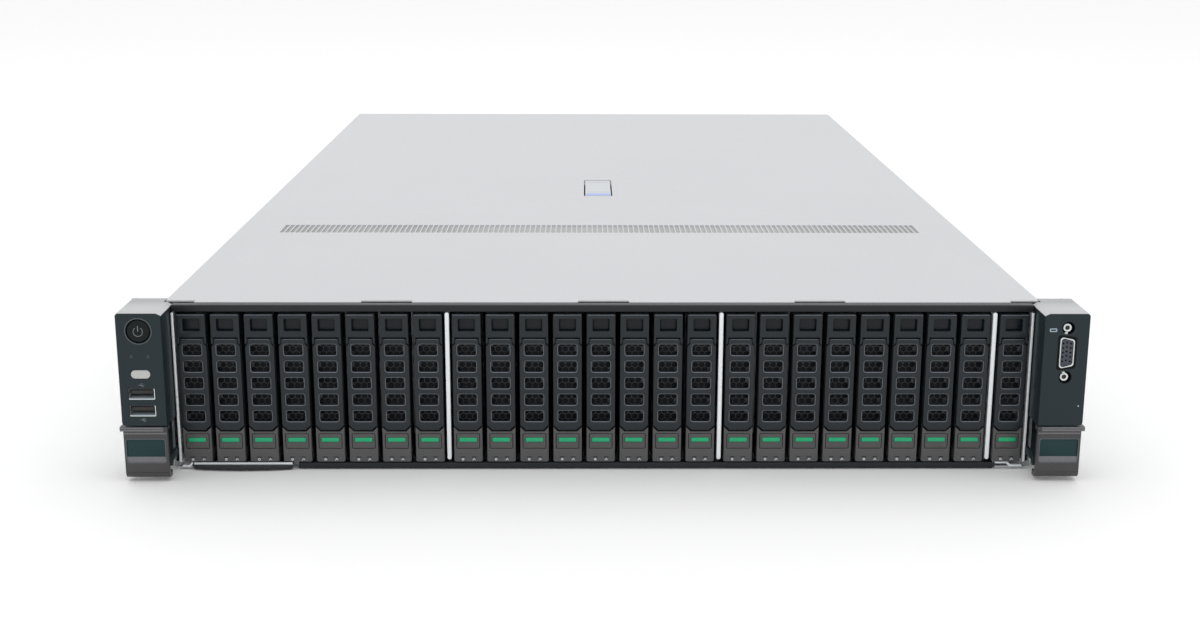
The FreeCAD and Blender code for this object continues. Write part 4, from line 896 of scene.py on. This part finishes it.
kit.plate("cover_metal", loops, (COVER_Z - 1, COVER_Z), 0.2, plane="xy")
for side in (-1, 1):
    kit.block("cover_metal", on_side(side, 220.2, 221.2), (COVER_Y[0] + 12, COVER_Y[1] - 12),
              (COVER_Z - 10, COVER_Z - 0.8), 0.1)
    kit.block("cover_metal", on_side(side, WELL_X, WELL_X + 1), (WELL_Y[0] - 1, WELL_Y[1] + 1),
              (COVER_Z - 9, COVER_Z - 0.8), 0.1)
for y in ((WELL_Y[0] - 1, WELL_Y[0]), (WELL_Y[1], WELL_Y[1] + 1)):
    kit.block("cover_metal", (-WELL_X, WELL_X), y, (COVER_Z - 9, COVER_Z - 0.8), 0.1)
kit.block("galvanised", (-WELL_X - 0.5, WELL_X + 0.5), (WELL_Y[0] - 0.5, WELL_Y[1] + 0.5),
          (COVER_Z - 9, COVER_Z - 8), 0.1)
kit.rod("bright_metal", HINGE, 1.5, (-WELL_X - 0.5, WELL_X + 0.5), axis="x")
kit.block("vent_mesh", (-197.6, 197.6), (168.8, 194), (COVER_Z - 1.3, COVER_Z - 0.7), 0.1)
kit.piece("top_cover", "top_cover")

low, high = node_box("cover_latch")
profile = [(low.y, high.z), (low.y, low.z + 2), (low.y + 2, low.z), (low.y + 12, low.z),
           (low.y + 14, high.z - 2.4),
           (HINGE[0] - 8, high.z - 2.4), (HINGE[0] - 5, low.z), (HINGE[0], low.z)]
profile += [polar(HINGE, 3, radians(18 * k - 90)) for k in range(1, 10)] + [(HINGE[0], high.z)]
kit = Kit()
kit.plate("latch_grey", [profile, circle(*HINGE, 1.6, 24)], (low.x, high.x), 0.35, 3, plane="yz")
kit.block("latch_blue", (low.x + 0.5, high.x - 0.5), (low.y + 0.5, low.y + 9), (high.z - 0.4, high.z + 0.02),
          0.02)
for y in (low.y + 15, HINGE[0] - 7):
    kit.block("icon_grey", (low.x + 1.5, high.x - 1.5), centred(y, 0.5), (high.z - 0.3, high.z + 0.02), 0.02)
kit.piece("cover_latch", "cover_latch")


# ---- Chassis ---------------------------------------------
REAR = node_box("chassis_base")[1].y
WALL_X = node_box("top_cover")[1].x
BOARD_Z = 8


def at_rear(a, b):
    return (REAR + a, REAR + b)


def on_board(height):
    return (BOARD_Z, BOARD_Z + height)


def rivets(kit):
    for side in (-1, 1):
        for k in range(12):
            y = 20 + 62 * k
            for z in (12, 76):
                kit.rod("bright_metal", (y, z), 2, on_side(side, WALL_X - 0.2, WALL_X + 0.5), axis="x",
                        bevel=0.3, segments=20)
    for x in (-180, -60, 60, 180):
        for y in (60, 230, 420, 600):
            kit.rod("bright_metal", (x, y), 2.4, (1.1, 1.7), axis="z", bevel=0.2, segments=20)


dress("chassis_base", "galvanised", 0.15, 1, rivets)


# ---- Backplane -------------------------------------------
def backplane_part(low, high):
    if high.y - low.y < 3:
        return "board_green"
    return "port_black" if high.y < 130 else "ivory"


def backplane_chips(kit):
    for k in range(8):
        x = cage_window(k)
        kit.block("chip_black", centred(x, 12), (129.7, 131), centred(34, 12))
        for z in (24, 44):
            kit.block("chip_black", centred(x - 14, 5), (129.7, 130.7), centred(z, 3), 0.15)
    for x in (-150, -50, 50, 150):
        for k in range(6):
            pin = centred(x - 8.75 + 3.5 * k, 2.2)
            kit.block("port_black", pin, (140.4, 140.85), (14.6, 17.2), 0.1)


dress("drive_backplane", backplane_part, 0.15, 1, backplane_chips)


# ---- Fans ------------------------------------------------
FAN_LOW, FAN_HIGH = node_box("fan_housings")
FAN_TOP = FAN_HIGH.z - 5
FAN_HALF = 38
FAN_BORE = 29.3
FAN_Z = FAN_TOP - FAN_HALF
FAN_Y = (FAN_LOW.y, FAN_HIGH.y)
FAN_WIDE = 64
FANS = [FAN_LOW.x + FAN_WIDE / 2 + k * (FAN_HIGH.x - FAN_LOW.x - FAN_WIDE) / 5 for k in range(6)]
dress("fan_cage", "galvanised", 0.12, 1)

kit = Kit()
for x in FANS:
    shell = [rounded(centred(x, FAN_WIDE), (FAN_Z - FAN_HALF, FAN_TOP), 2.5, 5),
             circle(x, FAN_Z, FAN_BORE, 64)]
    kit.plate("fan_plastic", shell, FAN_Y, 0.5, 3)
    back = (FAN_Y[1] - 4, FAN_Y[1] - 0.1)
    kit.turned("fan_plastic", [(0, back[0]), (12.2, back[0]), (13, back[0] + 0.8), (13, back[1]),
                               (0, back[1])], (x, FAN_Z), segments=48)
    for k in range(4):
        turn = radians(45 + 90 * k)
        spoke = stroke([polar((x, FAN_Z), reach, turn) for reach in (12, 29.8)], 3)
        kit.plate("fan_plastic", spoke, back, 0.5)
        guard = stroke([polar((x, FAN_Z), reach, turn) for reach in (4, 31)], 1)
        kit.plate("bright_metal", guard, (FAN_Y[0] + 0.9, FAN_Y[0] + 1.7), 0.3)
        kit.rod("bright_metal", (x + 39.3 * cos(turn), FAN_Z + 45 * sin(turn)), 1.9,
                (FAN_Y[0], FAN_Y[0] + 1.2), segments=20)
    for radius in (5, 11, 17, 23, 28.5):
        kit.plate("bright_metal", ring((x, FAN_Z), radius), (FAN_Y[0] + 0.2, FAN_Y[0] + 1.1), 0.35)
    half = [(11, 3), (12, 2.2), (12, -0.5), (16, -0.5), (16, 3.4), (14.4, 5)]
    handle = [(x + a, FAN_TOP + b) for a, b in half + mirror_x(half)]
    kit.plate("release_green", [handle], (FAN_Y[0] + 14, FAN_Y[0] + 22), 0.5, 3)
kit.piece("fan_housings")


def fan_blade(turn_start):
    """Cambered and twisted blade between the hub and the tip."""
    bm = bmesh.new()
    centre = (FAN_Y[0] + FAN_Y[1]) / 2 - 0.65
    sheets = []
    for face in (-0.6, 0.6):
        rows = []
        for step in range(7):
            radius = 13 + 15.4 * step / 6
            stagger = radians(52 - 18 * step / 6)
            chord = 17 + 6 * step / 6
            row = []
            for k in range(9):
                along = k / 8 - 0.5
                turn = turn_start + chord * along * cos(stagger) / radius
                lift = -chord * along * sin(stagger) + 1.8 * (1 - 4 * along ** 2) + face
                row.append(bm.verts.new((radius * cos(turn), centre + lift, FAN_Z + radius * sin(turn))))
            rows.append(row)
        sheets.append(rows)
    for number, rows in enumerate(sheets):
        for a, b in zip(rows, rows[1:]):
            for k in range(8):
                bm.faces.new((a[k], a[k + 1], b[k + 1], b[k]))
    rims = [[row[0] for row in rows] for rows in sheets], [[row[-1] for row in rows] for rows in sheets], \
        [rows[0] for rows in sheets], [rows[-1] for rows in sheets]
    for near, far in rims:
        for k in range(len(near) - 1):
            bm.faces.new((near[k], near[k + 1], far[k + 1], far[k]))
    bmesh.ops.recalc_face_normals(bm, faces=bm.faces)
    return finished(bm, "blade")


kit = Kit()
hub = [(0, 192.1), (3.6, 192.1), (4, 192.4), (4, 192.9), (11, 192.9), (13.3, 195), (13.4, 223), (0, 223.2)]
kit.turned("rotor_plastic", hub, (0, FAN_Z), segments=56)
for number in range(5):
    kit.add(fan_blade(2 * pi * number / 5), "rotor_plastic")
rotor_mesh = kit.mesh("rotor_mesh")
for number, x in enumerate(FANS, 1):
    obj = bpy.data.objects.new(f"fan_wheel_{number}", rotor_mesh)
    obj.matrix_world = Matrix.Translation((x * MM, 0, 0))
    place(obj, f"fan_rotor_{number}", f"fan_rotor_{number}")


# ---- Motherboard -----------------------------------------
CPU_X = 104
JACK_Z = (9.6, 19.4)
# Connectors: place in X, width, kind.
JACKS = ((-42.3, 31, "serial"), (-8.8, 16, "network"), (17.2, 16, "network"), (42.45, 14.5, "usb"),
         (90.7, 62, "display"))


def board_part(low, high):
    if high.z < BOARD_Z + 0.5:
        return "board_green"
    if high.y > REAR:
        return "nickel"
    if low.y < 250:
        return "ivory"
    return None if low.y > 500 else "port_black"


def jack_parts(kit, x, width, kind):
    z = BOARD_Z + 6.5
    inner = centred(x, width - 3.2)
    if kind == "network":
        kit.block("port_black", inner, at_rear(-8, -7.4), JACK_Z, 0.1)
        for k in range(8):
            kit.block("gold", centred(x - 4.2 + 1.2 * k, 0.5), at_rear(-7.5, -1.5), (18.6, 18.9), 0.05)
        for side, mat in ((-1, "release_green"), (1, "amber")):
            kit.block(mat, centred(x + side * 4.6, 2.6), at_rear(-1, 0.35), (19, 20.6))
    elif kind == "usb":
        kit.block("port_black", inner, at_rear(-8, -7.4), JACK_Z, 0.1)
        kit.block("nickel", inner, at_rear(-7.5, 0.3), centred(z, 1), 0.1)
        for side in (-1, 1):
            kit.block("touch_dark", centred(x, width - 5.6), at_rear(-7.5, -0.5),
                      centred(z + side * 2.6, 1.6), 0.15)
    else:
        kit.block("port_black", inner, at_rear(-8, -2), JACK_Z)
        half = 8.6 if kind == "serial" else 12.4
        shell = [[(x - half, z + 3.9), (x - half + 1.5, z - 3.9), (x + half - 1.5, z - 3.9),
                  (x + half, z + 3.9)],
                 [(x - half + 0.7, z + 3.3), (x - half + 2, z - 3.3), (x + half - 2, z - 3.3),
                  (x + half - 0.7, z + 3.3)]]
        kit.plate("bright_metal", shell, at_rear(-3, 0.4), 0.15)
        for row in (-1, 1):
            for k in range(5 if kind == "serial" else 8):
                count = 4 if kind == "serial" else 7
                kit.rod("gold", (x + (k - count / 2) * 2.4, z + row * 1.4), 0.4, at_rear(-2.2, -0.6),
                        bevel=0.1, segments=10)
        for side in (-1, 1):
            nut = (x + side * (half + 3.2), z)
            kit.plate("bright_metal", [circle(*nut, 1.9, 6), circle(*nut, 0.9, 16)], at_rear(-2.2, 0.45))


def board_details(kit):
    for x, width, kind in JACKS:
        jack_parts(kit, x, width, kind)
    for k in range(37):
        x = -189 + 10.5 * k
        if abs(x) > 4:
            kit.rod("can_metal" if k % 3 else "port_black", (x, 286), 2.6, on_board(8), axis="z", bevel=0.4,
                    segments=20)
    for side in (-1, 1):
        for k in range(14):
            x = side * (22 + 12.5 * k)
            kit.block("chip_black", centred(x, 8.6), centred(446, 8.6), on_board(6), 0.8, 3)
            kit.rod("can_metal", (x, 458.5), 3.2, on_board(9), axis="z", bevel=0.5, segments=24)
    for x in (-165, -95, -25, 45, 115, 175):
        kit.block("chip_black", centred(x, 13), centred(505, 13), on_board(0.95), 0.15)
        for k in range(5):
            kit.block("ivory" if k % 2 else "chip_black", centred(x - 14 + 7 * k, 3.2), centred(526, 1.8),
                      on_board(0.9), 0.1)
    for k in range(6):
        x = -50 + 46 * k
        kit.block("port_black" if k % 2 else "ivory", centred(x, 30), centred(551, 6.5), on_board(9), 0.4)
    for x in (-65.5, 54.5):
        kit.block("port_black", centred(x, 4.8), (594, 702), (BOARD_Z, 23.8), 0.4)
    kit.block("fin_metal", (-0.3, 39.7), (574, 614), on_board(2.6), 0.3)
    for k in range(11):
        kit.block("fin_metal", centred(1.2 + 3.74 * k, 0.9), (574.2, 613.8), (BOARD_Z + 2.4, BOARD_Z + 8),
                  0.15, 1)
    kit.rod("nickel", (192, 600), 10, (BOARD_Z + 1.2, BOARD_Z + 4.4), axis="z", bevel=0.5, segments=40)
    kit.plate("port_black", [circle(192, 600, 11.6, 40), circle(192, 600, 10.1, 40)], on_board(4), 0.3,
              plane="xy")
    for k in range(5):
        for j in range(3):
            kit.block("chip_black", centred(178 + 8 * k, 5.2), centred(640 + 14 * j, 4), on_board(1.4))
    for plug in (-40, 0, 40):
        for k in range(4):
            kit.block("port_black", centred(plug - 7.5 + 5 * k, 2.4), (241, 246.5), (17.8, 18.2), 0.1)


dress("motherboard", board_part, 0.15, 1, board_details)

kit = Kit()
low, high = node_box("cpu_heatsinks")
for side in (-1, 1):
    x = side * CPU_X
    kit.block("fin_metal", centred(x, 80), (low.y, high.y), (low.z, low.z + 6), 0.5)
    for k in range(33):
        fin = centred(x - 39.7 + 79.4 * k / 32, 0.6)
        kit.block("fin_metal", fin, (low.y + 0.2, high.y - 0.2), (low.z + 5.8, high.z), 0.12, 1)
kit.piece("cpu_heatsinks")

kit = Kit()
low, high = node_box("memory_modules")
cards = (low.y + 6, high.y - 6)
slot_top = BOARD_Z + 8
for side in (-1, 1):
    for bank in (-1, 1):
        for number in range(6):
            x = side * CPU_X + bank * (47 + 8.4 * number)
            kit.block("ivory" if number % 2 else "port_black", centred(x, 6.2), (low.y, high.y),
                      (BOARD_Z, slot_top - 2), 0.3)
            for y in (low.y + 2.6, high.y - 2.6):
                kit.block("ivory", centred(x, 5), centred(y, 5), (BOARD_Z + 5, slot_top + 13), 0.6, 3)
            kit.block("memory_green", centred(x, 1.3), cards, (slot_top - 2.2, high.z), 0.15)
            for k in range(9):
                for face in (-1, 1):
                    chip = centred(cards[0] + 10.7 + 14 * k, 10.6)
                    kit.block("chip_black", centred(x + face * 1.15, 1.1), chip,
                              (slot_top + 6, slot_top + 19), 0.12, 1)
kit.piece("memory_modules")

dress("air_baffle", "baffle_plastic", 0.3, 2)


# ---- Risers and rear panel -------------------------------
# Riser cages: left side, foot, number of slots.
RISERS = ((-218.5, 43.3, 2), (-67.3, 23, 3), (52.7, 23, 3))
SLOT_PITCH = 20.32
BAY_TOP = 41.8
CASE = 73.5
SUPPLY_Z = 21.5
SUPPLIES = ((1, -220.2), (2, -145.1))


def slot_z(bottom, slot):
    return bottom + 1 + SLOT_PITCH * (slot + 0.5)


def riser_part(low, high):
    return "board_green" if high.x - low.x < 3 else "galvanised"


def riser_details(kit):
    for left, bottom, slots in RISERS:
        for slot in range(slots):
            z = slot_z(bottom, slot)
            kit.block("port_black", (left + 2.5, left + 13.5), (600, 690), centred(z, 7), 0.4)
            cover = (left + 3.2, left + 110.8)
            # painted shade behind each slot cover
            kit.block("painted_shade_dark", cover, at_rear(-1.18, -1.08), centred(z, 13.8), 0.02)
            loops = [rounded(cover, centred(z, 13.6), 0.8)] + hexes((cover[0] + 6, cover[1] - 12),
                    (z - 5.6, z + 5.6), 4, 1.8)
            kit.plate("bright_metal", loops, at_rear(-1.05, -0.45), 0.1, 1)
            kit.rod("bright_metal", (cover[1] - 5.5, z), 2.6, at_rear(-0.6, 0.3), bevel=0.4, segments=24)


dress("riser_cages", riser_part, 0.12, 1, riser_details)


def panel(kit):
    for bm in shape("rear_panel"):
        skin = [face for face in bm.faces if min(v.co.y for v in face.verts) > REAR - 1.3]
        bmesh.ops.delete(bm, geom=skin, context="FACES")
        kit.add(eased(bm, 0.12, 1), "galvanised")
        bm.free()
    low, high = SHEET, node_box("rear_panel")[1].z
    edge = [(-221.5, high), (-221.5, low)]
    for left in (-220.5, -145.4):
        right = left + CASE + 0.6
        edge += [(left, low), (left, BAY_TOP), (right, BAY_TOP), (right, low)]
    loops = [edge + [(221.5, low), (221.5, high)]]
    for left, bottom, slots in RISERS:
        for slot in range(slots):
            loops.append(rect((left + 3, left + 111), centred(slot_z(bottom, slot), 14)))
    for x, width, kind in JACKS:
        loops.append(rect(centred(x, width + 0.4), on_board(13.2)))
    loops += hexes((172, 218), (6, 83), 6.2, 2.7) + hexes((-102, -71.5), (46, 83), 6.2, 2.7)
    loops += hexes((128, 166), (6, 20), 6.2, 2.7)
    kit.plate("galvanised", loops, at_rear(-SHEET, 0), 0.12, 1)


dress("rear_panel", None, extra=panel)


# ---- Power supplies --------------------------------------
def supply_part(low, high):
    if high.y - low.y > 100:
        return "supply_metal"
    return "grip_plastic" if high.x - low.x > 20 else "port_black"


def supply_details(left):
    def parts(kit):
        inlet = (left + 18, SUPPLY_Z)
        wide, tall = centred(inlet[0], 27.4), centred(inlet[1], 19.9)
        hole = [(wide[0] + 1.6, tall[0] + 1.6), (wide[1] - 1.6, tall[0] + 1.6),
                (wide[1] - 1.6, tall[1] - 4.6),
                (wide[1] - 4.6, tall[1] - 1.6), (wide[0] + 4.6, tall[1] - 1.6), (wide[0] + 1.6,
                        tall[1] - 4.6)]
        kit.plate("port_black", [rounded(wide, tall, 0.6), hole], at_rear(-15.8, 0.3), 0.3)
        kit.block("port_black", inset(wide, 0.5), at_rear(-15.95, -15.5), inset(tall, 0.5), 0.1)
        fan = (left + CASE * 0.64, SUPPLY_Z)
        # painted shade behind the supply fan
        kit.rod("painted_shade_dark", fan, 12.7, at_rear(-7.9, -7.5), segments=48)
        kit.turned("rotor_plastic", [(0, REAR - 7.6), (4.6, REAR - 7.6), (4.6, REAR - 2.2), (3.8, REAR - 1.6),
                (0, REAR - 1.6)], fan, segments=36)
        for k in range(7):
            turn = 2 * pi * k / 7
            vane = [polar(fan, 4.2, turn), polar(fan, 12, turn + 0.5)]
            kit.plate("rotor_plastic", stroke(vane, 3.4), at_rear(-5.6, -4.4), 0.3)
        for radius in (4.5, 8, 11.5):
            kit.plate("bright_metal", ring(fan, radius), at_rear(-0.9, 0.1), 0.35)
        for k in range(4):
            turn = radians(45 + 90 * k)
            ends = [polar(fan, reach, turn) for reach in (1.5, 13.4)]
            kit.plate("bright_metal", stroke(ends, 1), at_rear(-1.6, -0.8), 0.3)
        kit.rod("release_green", (left + 33, 37), 1.2, at_rear(-0.5, 0.4), segments=20)
        # painted shade drawn as vent slots on the supply's face
        for k in range(9):
            kit.block("painted_shade_dark", centred(left + 9 + 7 * k, 5), at_rear(-0.2, 0.05), (5, 6), 0.02)
    return parts


for number, left in SUPPLIES:
    case = f"psu_{number}"
    dress(case, supply_part, 0.25, 2, supply_details(left), case)
    dress(case + "_latch", "release_green", 0.3, body=case + "_latch")


# ---- Floor, lights, background, camera -------------------
FLOOR_HALF = 4.5
FLOOR_GAP = 0.0005
LENS = 49.08
EYE = (-0.0104, -0.816, 0.2862)
YAW, PITCH, ROLL = -0.61, 75.82, 0.17

low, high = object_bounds()
centre = (low + high) / 2
bm = bmesh.new()
bmesh.ops.create_grid(bm, x_segments=2, y_segments=2, size=FLOOR_HALF)
for v in bm.verts:
    v.co = Vector((v.co.x + centre.x, v.co.y + centre.y, low.z - FLOOR_GAP))
mesh = finished(bm, "floor")
mesh.materials.append(material("floor_paper", (249.3112,) * 3, 0.8, vary=0.004, grain=40, bump=0,
        rough_vary=0.02))
floor = bpy.data.objects.new("floor", mesh)
bpy.context.scene.collection.objects.link(floor)


def lamp(name, place_at, aim, size, power):
    data = bpy.data.lights.new(name, "AREA")
    data.shape = "RECTANGLE"
    data.size, data.size_y = size
    data.energy = power
    obj = bpy.data.objects.new(name, data)
    direction = Vector(aim) - Vector(place_at)
    obj.matrix_world = Matrix.Translation(place_at) @ direction.to_track_quat("-Z", "Y").to_matrix().to_4x4()
    bpy.context.scene.collection.objects.link(obj)


lamp("top_softbox", (0, 0.60, 1.9), (0, 0.3, 0), (2.6, 1.8), 7)
lamp("front_softbox", (0.3, -2.1, 0.8), (0, 0, 0.03), (1.8, 0.9), 3)

world = bpy.data.worlds.new("studio")
bpy.context.scene.world = world
world.use_nodes = True
tree = world.node_tree
tree.nodes.clear()
path = shader_node(tree, "LightPath", {})
seen = path["Is Camera Ray"]
for ray in ("Is Glossy Ray", "Is Transmission Ray"):
    seen = shader_node(tree, "Math", {0: seen, 1: path[ray]}, operation="MAXIMUM")["Value"]
white = {"Color": (1, 1, 1, 1), "Strength": 1}
plain, shown = [shader_node(tree, "Background", white)["Background"] for _ in range(2)]
mixed = shader_node(tree, "MixShader", {"Fac": seen, 1: plain, 2: shown})["Shader"]
shader_node(tree, "OutputWorld", {"Surface": mixed})

camera = bpy.data.cameras.new("camera")
camera.sensor_width = 36
camera.lens = LENS
eye = bpy.data.objects.new("camera", camera)
turns = [Matrix.Rotation(radians(angle), 4, axis) for angle, axis in ((YAW, "Z"), (PITCH, "X"), (ROLL, "Z"))]
eye.matrix_world = Matrix.Translation(EYE) @ turns[0] @ turns[1] @ turns[2]
bpy.context.scene.collection.objects.link(eye)
bpy.context.scene.camera = eye
bpy.context.scene.view_settings.view_transform = "Standard"
